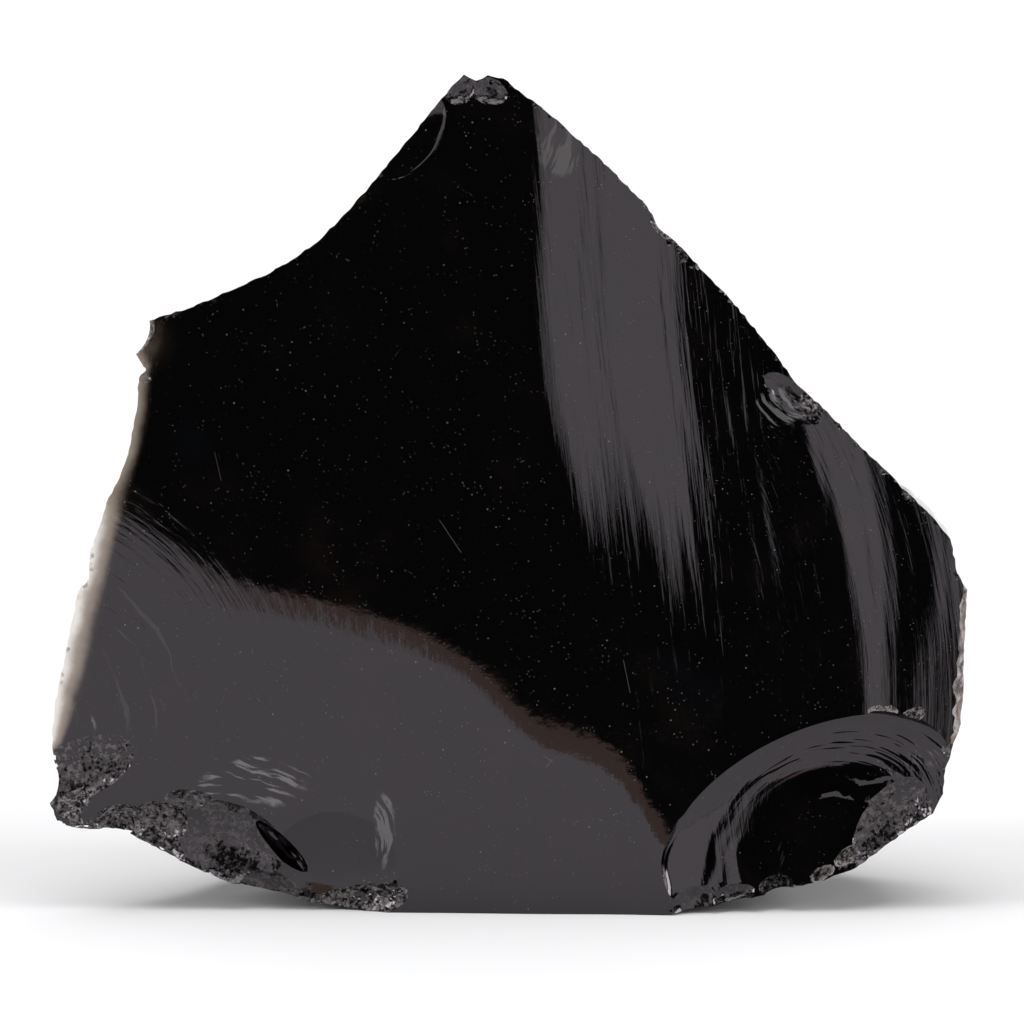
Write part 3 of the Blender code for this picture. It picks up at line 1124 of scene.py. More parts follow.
@dataclass(frozen=True)
class Shade:
    """A value or colour in a node tree, which takes part in Python expressions.

    Attributes:
        kit: the node tree's maker.
        socket: the output socket that carries the value.
    """

    kit: "NodeKit"
    socket: bpy.types.NodeSocket

    def maths(self, operation: str, *values: Any, clamp: bool = False) -> "Shade":
        """Run a Math node.

        Args:
            operation: the node's operation.
            values: its inputs in order, numbers or shades.
            clamp: keep the result between 0 and 1.

        Returns:
            The result.
        """
        settings = {"operation": operation, "use_clamp": clamp}
        return self.kit.node("ShaderNodeMath", settings, dict(enumerate(values)))

    def __add__(self, other: Any) -> "Shade":
        """Sum."""
        return self.maths("ADD", self, other)

    def __radd__(self, other: Any) -> "Shade":
        """Sum, from the right."""
        return self.maths("ADD", other, self)

    def __sub__(self, other: Any) -> "Shade":
        """Difference."""
        return self.maths("SUBTRACT", self, other)

    def __rsub__(self, other: Any) -> "Shade":
        """Difference, from the right."""
        return self.maths("SUBTRACT", other, self)

    def __mul__(self, other: Any) -> "Shade":
        """Product."""
        return self.maths("MULTIPLY", self, other)

    def __rmul__(self, other: Any) -> "Shade":
        """Product, from the right."""
        return self.maths("MULTIPLY", other, self)

    def __truediv__(self, other: Any) -> "Shade":
        """Quotient."""
        return self.maths("DIVIDE", self, other)

    def __rtruediv__(self, other: Any) -> "Shade":
        """Quotient, from the right."""
        return self.maths("DIVIDE", other, self)

    def __neg__(self) -> "Shade":
        """The value with its sign turned."""
        return self.maths("MULTIPLY", self, -1.0)

    def __pow__(self, power: Any) -> "Shade":
        """Power."""
        return self.maths("POWER", self, power)

    def __abs__(self) -> "Shade":
        """Size without its sign."""
        return self.maths("ABSOLUTE", self)

    def most(self, other: Any) -> "Shade":
        """The larger of two."""
        return self.maths("MAXIMUM", self, other)

    def clamped(self) -> "Shade":
        """The value, kept between 0 and 1."""
        return self.maths("ADD", self, 0.0, clamp=True)

    def rises(self, low: Any, high: Any) -> "Shade":
        """An eased step that is 0 at low and 1 at high; low may be the larger.

        Args:
            low: the value where the step starts.
            high: the value where it ends.

        Returns:
            The step.
        """
        settings = {"interpolation_type": "SMOOTHSTEP", "clamp": True}
        links = {"Value": self, "From Min": low, "From Max": high}
        return self.kit.node("ShaderNodeMapRange", settings, links)


@dataclass
class NodeKit:
    """Makes the nodes of one node tree.

    Attributes:
        tree: the tree, which starts empty.
    """

    tree: bpy.types.NodeTree

    def node(self, kind: str, settings: dict, values: dict, output: Any = 0) -> Shade:
        """Add a node.

        Args:
            kind: the node's type.
            settings: its properties, set before its sockets.
            values: numbers, tuples or shades for its inputs, by name or place.
            output: name or place of the output to return.

        Returns:
            The chosen output.
        """
        made = self.tree.nodes.new(kind)
        for name, value in settings.items():
            setattr(made, name, value)
        for name, value in values.items():
            socket = made.inputs[name]
            if isinstance(value, Shade):
                self.tree.links.new(value.socket, socket)
            else:
                socket.default_value = value
        return Shade(self, made.outputs[output]) if len(made.outputs) else None

    def mix(self, factor: Any, first: Any, second: Any, blend: str = "MIX") -> Shade:
        """Blend two colours.

        Args:
            factor: how much of the second shows.
            first: a colour, as three numbers or a shade.
            second: a colour, as three numbers or a shade.
            blend: how the two meet.

        Returns:
            The blended colour.
        """
        settings = {"data_type": "RGBA", "blend_type": blend}
        colours = [c if isinstance(c, Shade) else (*c, 1.0) for c in (first, second)]
        return self.node("ShaderNodeMix", settings, {0: factor, 6: colours[0], 7: colours[1]}, 2)

    def noise(self, place: Shade, scale: float, detail: float = 2.0, rough: float = 0.5) -> Shade:
        """Noise of about 0 to 1.

        Args:
            place: the coordinates.
            scale: its waves per unit.
            detail: its octaves.
            rough: how strong the finer octaves are.

        Returns:
            The noise.
        """
        values = {"Vector": place, "Scale": scale, "Detail": detail, "Roughness": rough}
        return self.node("ShaderNodeTexNoise", {"noise_dimensions": "3D"}, values)

    def stretched(self, place: Shade, scale: tuple) -> Shade:
        """Coordinates, scaled along each axis."""
        return self.node("ShaderNodeMapping", {}, {"Vector": place, "Scale": scale})

    def point(self, first: Any, second: Any) -> Shade:
        """Coordinates from two values, the third being 0."""
        return self.node("ShaderNodeCombineXYZ", {}, {0: first, 1: second})

    def mark(self, mark: Mark) -> Shade:
        """A mark that the mesh carries."""
        return self.node("ShaderNodeAttribute", {"attribute_name": mark.value}, {}, "Fac")


def cleared(owner: bpy.types.Material | bpy.types.World) -> NodeKit:
    """Clear the node tree of a material or world.

    Args:
        owner: the material or world.

    Returns:
        The maker of its new nodes.
    """
    owner.use_nodes = True
    owner.node_tree.nodes.clear()
    return NodeKit(owner.node_tree)


@dataclass(frozen=True)
class Spot:
    """The spot that is shaded, on the stone's own axes, in metres.

    Attributes:
        kit: the maker of the nodes that read it.
        place: its object coordinates.
        across: its place along X.
        up: its height.
    """

    kit: NodeKit
    place: Shade
    across: Shade
    up: Shade

    def noise(self, scale: float, detail: float = 2.0, rough: float = 0.5) -> Shade:
        """Noise of about 0 to 1, with its waves per metre, octaves and their strength."""
        return self.kit.noise(self.place, scale, detail, rough)

    def polar(self, centre: tuple) -> tuple[Shade, Shade]:
        """Where the spot lies round a centre in the face's plane.

        Args:
            centre: the centre, as (across, up) in millimetres.

        Returns:
            The distance from it in metres, and the direction in radians.
        """
        x, z = self.across - centre[0] * MM, self.up - centre[1] * MM
        return (x * x + z * z) ** 0.5, z.maths("ARCTAN2", z, x)


# ---------------------------------------------------------------------------
# Finishes
# ---------------------------------------------------------------------------


@dataclass(frozen=True)
class Scratch:
    """A straight scratch in the mirror face.

    Attributes:
        start, end: its ends, as (across, up).
        width: its width.
        strength: how much of it shows.
        core: the part of its width that shows in full.
        taper: length over which its ends fade.
    """

    start: tuple
    end: tuple
    width: float = 0.10
    strength: float = 0.2
    core: float = 0.4
    taper: float = 0.3

    def mask(self, spot: Spot) -> Shade:
        """Where the scratch shows.

        Args:
            spot: the spot that is shaded.

        Returns:
            Its mask.
        """
        first, last = Vector(self.start) * MM, Vector(self.end) * MM
        length = (last - first).length
        way = (last - first) / length
        run = (spot.across - first.x) * way.x + (spot.up - first.y) * way.y
        side = (spot.across - first.x) * -way.y + (spot.up - first.y) * way.x
        past = abs(run - length / 2) - length / 2
        aside = abs(side)
        half = self.width * MM / 2
        inside = aside.rises(half, half * self.core) * past.rises(self.taper * MM, 0.0)
        return inside * self.strength


@dataclass(frozen=True)
class Bruise:
    """A patch of fine white cracks that run in arcs just under the surface.

    Attributes:
        across, up: its middle.
        half_width, half_height: its size.
        centre: the centre of its arcs, as (across, up).
        scale: arcs per metre.
        strength: how much of it shows.
        threshold: the noise above which a crack shows; lower gives more cracks.
        breaks: how often the cracks break, per radian.
        soft: how much more noise a crack needs to show in full.
        ragged: how ragged the patch's border is.
        bend: how far the cracks stray from their arcs.
    """

    across: float
    up: float
    half_width: float
    half_height: float
    centre: tuple
    scale: float = 700.0
    strength: float = 0.5
    threshold: float = 0.58
    breaks: float = 1.6
    soft: float = 0.05
    ragged: float = 1.2
    bend: float = 1.6

    def mask(self, spot: Spot) -> Shade:
        """Where the cracks show.

        Args:
            spot: the spot that is shaded.

        Returns:
            Its mask.
        """
        x = (spot.across - self.across * MM) / (self.half_width * MM)
        z = (spot.up - self.up * MM) / (self.half_height * MM)
        border = (spot.noise(400.0, 3.0) - 0.5) * self.ragged
        inside = ((x * x + z * z) ** 0.5 + border).rises(1.0, 0.7)
        radius, spin = spot.polar(self.centre)
        bend = spot.noise(260.0) * (self.bend * MM)
        lines = spot.kit.point((radius + bend) * self.scale, spin * self.breaks)
        noise = spot.kit.noise(lines, 1.0, 3.0, 0.6)
        cracks = noise.rises(self.threshold, self.threshold + self.soft)
        return inside * cracks * self.strength


@dataclass(frozen=True)
class BlackGlass:
    """Polished black volcanic glass: streaks, dust, bruises, rind, painted edge light, painted
    glints.

    Attributes:
        name: the material's name.
        black, brown, blue: the glass's own colour and its faint stains.
        painted_glow_pale, painted_glow_tan, painted_glow_deep: the thin edge's colour from its
        outermost inwards.
        painted_glow_pale, painted_glow_tan, painted_glow_deep: painted light through the thin edge,
        outermost inwards.
        powder_and_glint, powder_dark: crushed glass; the first, whiter where crush passes 1, also
            paints glints.
        dust: dust grains.
        ior: index of refraction.
        shine: roughness of clean glass.
        sheen: tint of its reflections.
        rib_centre: centre of the arcs that the streaks on the right follow.
        arc_centre: centre of those by the lower left edge.
        streak_height, rib_height, arc_height: heights of those streaks, in metres.
        mottle_height, pull_height: heights of the glass's fine unevenness, in metres.
        scoop: the lower right scoop's middle, half length, half width and turn.
        scoop_height: height of the streaks round it, in metres.
        grit_heights: height of the grit on crushed glass and on rind, in metres.
        facet_scales: large and small facets of crushed glass per metre.
        facet_tilt: how steeply they tilt.
        grains: coarse and fine dust: grains per metre, and the largest one's radius in metres.
        dust_strength: how much of the dust shows.
        scratches: the scratches.
        bruises: the bruises.
    """

    name: str = "black_glass"
    black: tuple = (0.0013, 0.0013, 0.0014)
    brown: tuple = (0.0046, 0.0032, 0.0026)
    blue: tuple = (0.0018, 0.0021, 0.0027)
    painted_glow_pale: tuple = (0.80, 0.76, 0.72)
    painted_glow_tan: tuple = (0.27, 0.225, 0.185)
    painted_glow_deep: tuple = (0.022, 0.015, 0.011)
    powder_and_glint: tuple = (0.34, 0.31, 0.30)
    powder_dark: tuple = (0.030, 0.028, 0.028)
    rind_light: tuple = (0.42, 0.38, 0.37)
    rind_dark: tuple = (0.045, 0.038, 0.034)
    rind_rust: tuple = (0.16, 0.10, 0.065)
    dust: tuple = (0.30, 0.29, 0.29)
    ior: float = 1.58
    shine: float = 0.035
    sheen: tuple = (1.0, 0.90, 0.985)
    rib_centre: tuple = MirrorFace.rib_centre
    arc_centre: tuple = MirrorFace.arc_centre
    streak_height: float = 3.6e-5
    rib_height: float = 3.4e-5
    arc_height: float = 7.5e-5
    mottle_height: float = 1.1e-5
    pull_height: float = 8.0e-6
    scoop: tuple = (40.8, 10.2, 20.5, 14.4, 26.0)
    scoop_height: float = 3.4e-4
    grit_heights: tuple = (1.5e-5, 1.6e-4)
    facet_scales: tuple = (650.0, 2400.0)
    facet_tilt: float = 0.9
    grains: tuple = ((700.0, 0.00014), (1900.0, 0.00008))
    dust_strength: float = 0.4
    scratches: tuple = (
        Scratch((-8.7, 51.2), (-6.1, 47.3)),
        Scratch((15.2, 33.0), (16.0, 29.1)),
        Scratch((-38.0, 60.0), (-37.2, 56.6), strength=0.14),
        Scratch((21.0, 44.0), (21.3, 39.5), strength=0.14),
        Scratch((4.9, 20.7), (5.8, 20.2)),
        Scratch((5.8, 20.2), (5.2, 19.4)),
    )
    bruises: tuple = (
        Bruise(-32.2, 17.4, 8.2, 3.6, (-39.5, -7.0), 800.0, 0.40, 0.52, 2.0),
        Bruise(-55.2, 24.8, 1.8, 1.5, (-60.0, 22.0), 700.0, 0.3),
        Bruise(-15.9, 10.8, 1.4, 5.6, (-27.0, 9.0), 1500.0, 0.28, 0.46, 2.0),
        Bruise(-50.5, 33.0, 9.0, 13.0, MirrorFace.arc_centre, 1100.0, 0.06, 0.58, 1.0),
        Bruise(6.6, 98.8, 2.8, 4.6, (-30.0, 112.0), 700.0, 0.14, 0.46, 3.0),
        Bruise(35.8, 65.2, 3.4, 2.6, (39.6, 69.4), 1500.0, 0.30, 0.50, 1.0),
    )

    def relief(self, spot: Spot) -> Shade:
        """The height of the fine surface waves.

        Args:
            spot: the spot that is shaded.

        Returns:
            The height, in metres.
        """
        kit, across, up = spot.kit, spot.across, spot.up
        lean = across + up * 0.11
        upright = kit.node("ShaderNodeCombineXYZ", {}, {0: lean * 950.0, 2: up * 50.0})
        streaks = kit.noise(upright, 1.0, 3.0, 0.52)
        where = lean.rises(0.006, 0.016) * 0.8 + lean.rises(0.026, 0.032) * 1.4 + 0.12

        ribs = self.round_streaks(spot, self.rib_centre, 1300.0, 5.0)
        far = across.rises(0.026, 0.036) * up.rises(0.070, 0.060)
        arcs = self.round_streaks(spot, self.arc_centre, 620.0, 1.5)
        left = spot.polar(self.arc_centre)[0].rises(0.044, 0.030)

        mottle = spot.noise(700.0, 4.0)
        pull = kit.noise(kit.stretched(spot.place, (420.0, 200.0, 150.0)), 1.0)
        drawn = streaks * where * (1.0 - far) * self.streak_height + ribs * far * self.rib_height
        drawn = drawn + self.scoop_streaks(spot) + arcs * left * self.arc_height
        return drawn * kit.mark(Mark.MIRROR) + mottle * self.mottle_height + pull * self.pull_height

    def scoop_streaks(self, spot: Spot) -> Shade:
        """The height of the steep streaks that run round the upper right of the scoop.

        Args:
            spot: the spot that is shaded.

        Returns:
            The height, in metres.
        """
        middle, foot, half_length, half_width, turn = self.scoop
        turn = math.radians(turn)
        x, z = (spot.across / MM - middle), (spot.up / MM - foot)
        along = (x * math.cos(turn) + z * math.sin(turn)) / half_length
        over = (z * math.cos(turn) - x * math.sin(turn)) / half_width
        reach = (along * along + over * over) ** 0.5
        spin = over.maths("ARCTAN2", over, along)
        place = spot.kit.point(reach * 13.0, spin * 1.3)
        where = reach.rises(1.0, 0.94) * reach.rises(0.50, 0.72) * spin.rises(2.8, 1.4)
        return spot.kit.noise(place, 1.0) * where * self.scoop_height

    def round_streaks(self, spot: Spot, centre: tuple, scale: float, breaks: float) -> Shade:
        """Fine streaks that run in arcs round a centre.

        Args:
            spot: the spot that is shaded.
            centre: the centre, in millimetres.
            scale: streaks per metre of radius.
            breaks: how often they break, per radian.

        Returns:
            Noise of about 0 to 1.
        """
        radius, spin = spot.polar(centre)
        return spot.kit.noise(spot.kit.point(radius * scale, spin * breaks), 1.0, 4.0, 0.6)

    def dust_grains(self, spot: Spot, scale: float, size: float) -> Shade:
        """Scattered grains.

        Args:
            spot: the spot that is shaded.
            scale: grains per metre along an axis.
            size: radius of the largest, in metres.

        Returns:
            Where they lie.
        """
        values = {"Vector": spot.place, "Scale": scale, "Randomness": 1.0}
        near = spot.kit.node("ShaderNodeTexVoronoi", {"feature": "F1"}, values, "Distance")
        chance = spot.noise(scale * 0.22, 3.0, 0.6)
        radius = chance.rises(0.38, 0.64) * (size * scale)
        return near.rises(radius, radius * 0.5)

    def facets(self, spot: Spot, scale: float) -> Shade:
        """Small flat facets, each tilted its own way.

        Args:
            spot: the spot that is shaded.
            scale: facets per metre along an axis.

        Returns:
            The height, in metres.
        """
        kit, less = spot.kit, {"operation": "SUBTRACT"}
        cells = ("ShaderNodeTexVoronoi", {"feature": "F1"}, {"Vector": spot.place, "Scale": scale})
        middle, chance = kit.node(*cells, "Position"), kit.node(*cells, "Color")
        from_middle = kit.node("ShaderNodeVectorMath", less, {0: spot.place, 1: middle})
        lean = kit.node("ShaderNodeVectorMath", less, {0: chance, 1: (0.5, 0.5, 0.5)})
        sides = {0: from_middle, 1: lean}
        slope = kit.node("ShaderNodeVectorMath", {"operation": "DOT_PRODUCT"}, sides, "Value")
        return slope * self.facet_tilt

    def stained(self, spot: Spot) -> Shade:
        """The glass's own colour, with its faint brown and blue stains.

        Args:
            spot: the spot that is shaded.

        Returns:
            The colour.
        """
        brown = spot.noise(75.0, 4.0, 0.6).rises(0.48, 0.80)
        tone = spot.kit.mix(brown, self.black, self.brown)
        return spot.kit.mix(spot.noise(70.0).rises(0.58, 0.75), tone, self.blue)

    def paint_glow_through(self, spot: Spot, tone: Shade, cloud: Shade) -> Shade:
        """The colour with painted light through the thin edge, in place of transmission.

        Args:
            spot: the spot that is shaded.
            tone: the colour of thick glass.
            cloud: slow noise of about 0 to 1.

        Returns:
            The colour.
        """
        # How much painted light comes through the thin edge here, put into the colour.
        thin = spot.kit.mark(Mark.THIN)
        glow = thin * (0.9 + cloud * 0.2) + (cloud - 0.5) * thin.rises(0.0, 0.3) * 0.3
        tone = spot.kit.mix(glow.rises(0.0, 0.28), tone, self.painted_glow_deep)
        tone = spot.kit.mix(glow.rises(0.12, 0.62), tone, self.painted_glow_tan)
        return spot.kit.mix(glow.rises(0.55, 1.0), tone, self.painted_glow_pale)

    def crust(self, spot: Spot) -> Shade:
        """The colour of the weathered rind.

        Args:
            spot: the spot that is shaded.

        Returns:
            The colour.
        """
        crag = spot.noise(620.0, 5.0, 0.65).rises(0.38, 0.66)
        rust = spot.noise(190.0, 3.0).rises(0.48, 0.66) * 0.7
        crust = spot.kit.mix(crag, self.rind_dark, self.rind_light)
        return spot.kit.mix(rust, crust, self.rind_rust)

    def marks(self, spot: Spot) -> Shade:
        """Where scratches, bruises and dust show.

        Args:
            spot: the spot that is shaded.

        Returns:
            Their mask.
        """
        masks = [mark.mask(spot) for mark in self.scratches + self.bruises]
        marks = masks[0]
        for mask in masks[1:]:
            marks = marks.most(mask)
        coarse, fine = (self.dust_grains(spot, *grains) for grains in self.grains)
        marks = marks * spot.kit.mark(Mark.MIRROR)
        return marks.most(coarse.most(fine) * self.dust_strength)

    def colour(self, spot: Spot) -> tuple[Shade, Shade]:
        """The base colour and the roughness.

        Args:
            spot: the spot that is shaded.

        Returns:
            The colour and the roughness.
        """
        kit = spot.kit
        crush, rind = kit.mark(Mark.CRUSH), kit.mark(Mark.RIND)
        cloud = spot.noise(260.0, 3.0, 0.6)
        tone = self.paint_glow_through(spot, self.stained(spot), cloud)

        # Crush above 1 whitens the powder further: real crushed-glass powder, plus painted glints
        # on the small crushed flakes.
        speckle_and_glint = spot.noise(1500.0, 4.0, 0.7) + spot.noise(330.0) * 0.2 + crush * 0.035
        crushed = crush.clamped() * speckle_and_glint.rises(0.58, 0.71)
        tone = kit.mix(crush * 0.4, tone, self.powder_dark)
        tone = kit.mix(crushed, tone, self.powder_and_glint)
        tone = kit.mix(rind, tone, self.crust(spot))
        marks = self.marks(spot)
        tone = kit.mix(marks, tone, self.dust)

        gloss = self.shine + cloud.rises(0.3, 0.8) * 0.03
        rough = gloss + crush * 0.08 + crushed * 0.4 + marks * 0.4 + rind * 0.75
        return tone, rough.clamped()

    def height(self, spot: Spot) -> Shade:
        """The height of everything that is too fine for the mesh.

        Args:
            spot: the spot that is shaded.

        Returns:
            The height, in metres.
        """
        crush = spot.kit.mark(Mark.CRUSH)
        on_crushed, on_rind = self.grit_heights
        grit = crush * on_crushed + spot.kit.mark(Mark.RIND) * on_rind
        height = self.relief(spot) + spot.noise(1900.0, 4.0, 0.65) * grit
        large, small = (self.facets(spot, scale) for scale in self.facet_scales)
        return height + (large + small) * crush.rises(0.0, 0.5)

    def material(self) -> bpy.types.Material:
        """Make the material.

        Returns:
            The material.
        """
        made = bpy.data.materials.new(self.name)
        kit = cleared(made)
        place = kit.node("ShaderNodeTexCoord", {}, {}, "Object")
        across, up = (kit.node("ShaderNodeSeparateXYZ", {}, {0: place}, axis) for axis in "XZ")
        spot = Spot(kit, place, across, up)
        tone, rough = self.colour(spot)
        normal = kit.node("ShaderNodeBump", {}, {"Distance": 1.0, "Height": self.height(spot)})
        values = {"Base Color": tone, "Roughness": rough, "Normal": normal, "IOR": self.ior}
        values["Specular Tint"] = (*self.sheen, 1.0)
        glass = kit.node("ShaderNodeBsdfPrincipled", {}, values)
        kit.node("ShaderNodeOutputMaterial", {}, {"Surface": glass})
        return made


# ---------------------------------------------------------------------------
# The chunk
# ---------------------------------------------------------------------------


@dataclass(frozen=True)
class PaintedEdgeGlow:
    """Painted light through the stone, put in its colour: a band along the left edge, the corner
    and the rim.

    Attributes:
        past: how far inside the bevel's arris the band reaches.
        least: the band's least width.
        level: the light of its upper part, and what the lower part adds.
        lower: how that is added with height.
        foot: how the band fades in with height.
        corner: middle of the lit spot at the left corner, as (across, up).
        corner_level: that spot's light.
        corner_spread: its spread, squared.
        rim_end: the rim is lit left of and above this place.
        rim_level: the light of the thinnest rim, and what each millimetre takes away.
        probe: how deep the rim's thickness is measured.
        skin: how deep that measuring starts.
        most: the most light of the corner and the rim.
    """

    past: float = 0.9
    least: float = 0.8
    level: tuple = (0.6, 0.4)
    lower: Fade = Fade(52.0, -8.0)
    foot: Fade = Fade(21.0, 5.0)
    corner: tuple = (-46.5, 74.5)
    corner_level: float = 0.15
    corner_spread: float = 9.0
    rim_end: tuple = (-18.0, 70.0)
    rim_level: tuple = (0.22, 0.13)
    probe: float = 6.0
    skin: float = 0.02
    most: float = 0.6

    def band_light(self, across: float, up: float, arris: float, edge: float) -> float:
        """Light in the band along the left edge.

        Args:
            across: place along X.
            up: height.
            arris: place across of the bevel's arris at that height.
            edge: place across of the outline at that height.

        Returns:
            The light, 1 at the edge and 0 inside.
        """
        inner = arris + self.past
        inside = float(np.clip((inner - across) / max(self.least, inner - edge), 0.0, 1.0))
        upper, more = self.level
        inside *= upper + more * float(self.lower.at(up))
        return inside * float(self.foot.at(up))

    def rim_light(self, vert: bpy.types.MeshVertex, tree: BVHTree) -> float:
        """Light at a vertex near the rim, by the thickness of the stone behind it.

        Args:
            vert: the vertex.
            tree: finds where a ray leaves the stone.

        Returns:
            The light.
        """
        start = vert.co - vert.normal * self.skin * MM
        hit = tree.ray_cast(start, -vert.normal, self.probe * MM)
        thickness = self.probe if hit[0] is None else hit[3] / MM
        thinnest, loss = self.rim_level
        return max(0.0, thinnest - loss * thickness)

    def mark(self, block: bpy.types.Object, face: MirrorFace, outline: Outline) -> None:
        """Mark how much painted light comes through each vertex, from 0 to 1.

        Args:
            block: the block, whose mesh gets the mark.
            face: its mirror face.
            outline: its outline.
        """
        mesh = block.data
        tree = BVHTree.FromPolygons(
            [vert.co for vert in mesh.vertices], [face.vertices for face in mesh.polygons]
        )
        edge = sorted((up, across) for across, up in outline.left_edge + outline.left_corner)
        heights, places = zip(*edge)
        corner_across, corner_up = self.corner
        rim_across, rim_up = self.rim_end
        mark = mesh.attributes.new(Mark.THIN.value, "FLOAT", "POINT")
        for vert, value in zip(mesh.vertices, mark.data):
            across, _, up = vert.co / MM
            arris, rim = float(face.bevel_across(up)), float(np.interp(up, heights, places))
            off = (across - corner_across) ** 2 + (up - corner_up) ** 2
            corner = self.corner_level * math.exp(-off / self.corner_spread)
            if across < rim_across and up > rim_up:
                corner += self.rim_light(vert, tree)
            value.value = max(self.band_light(across, up, arris, rim), min(corner, self.most))


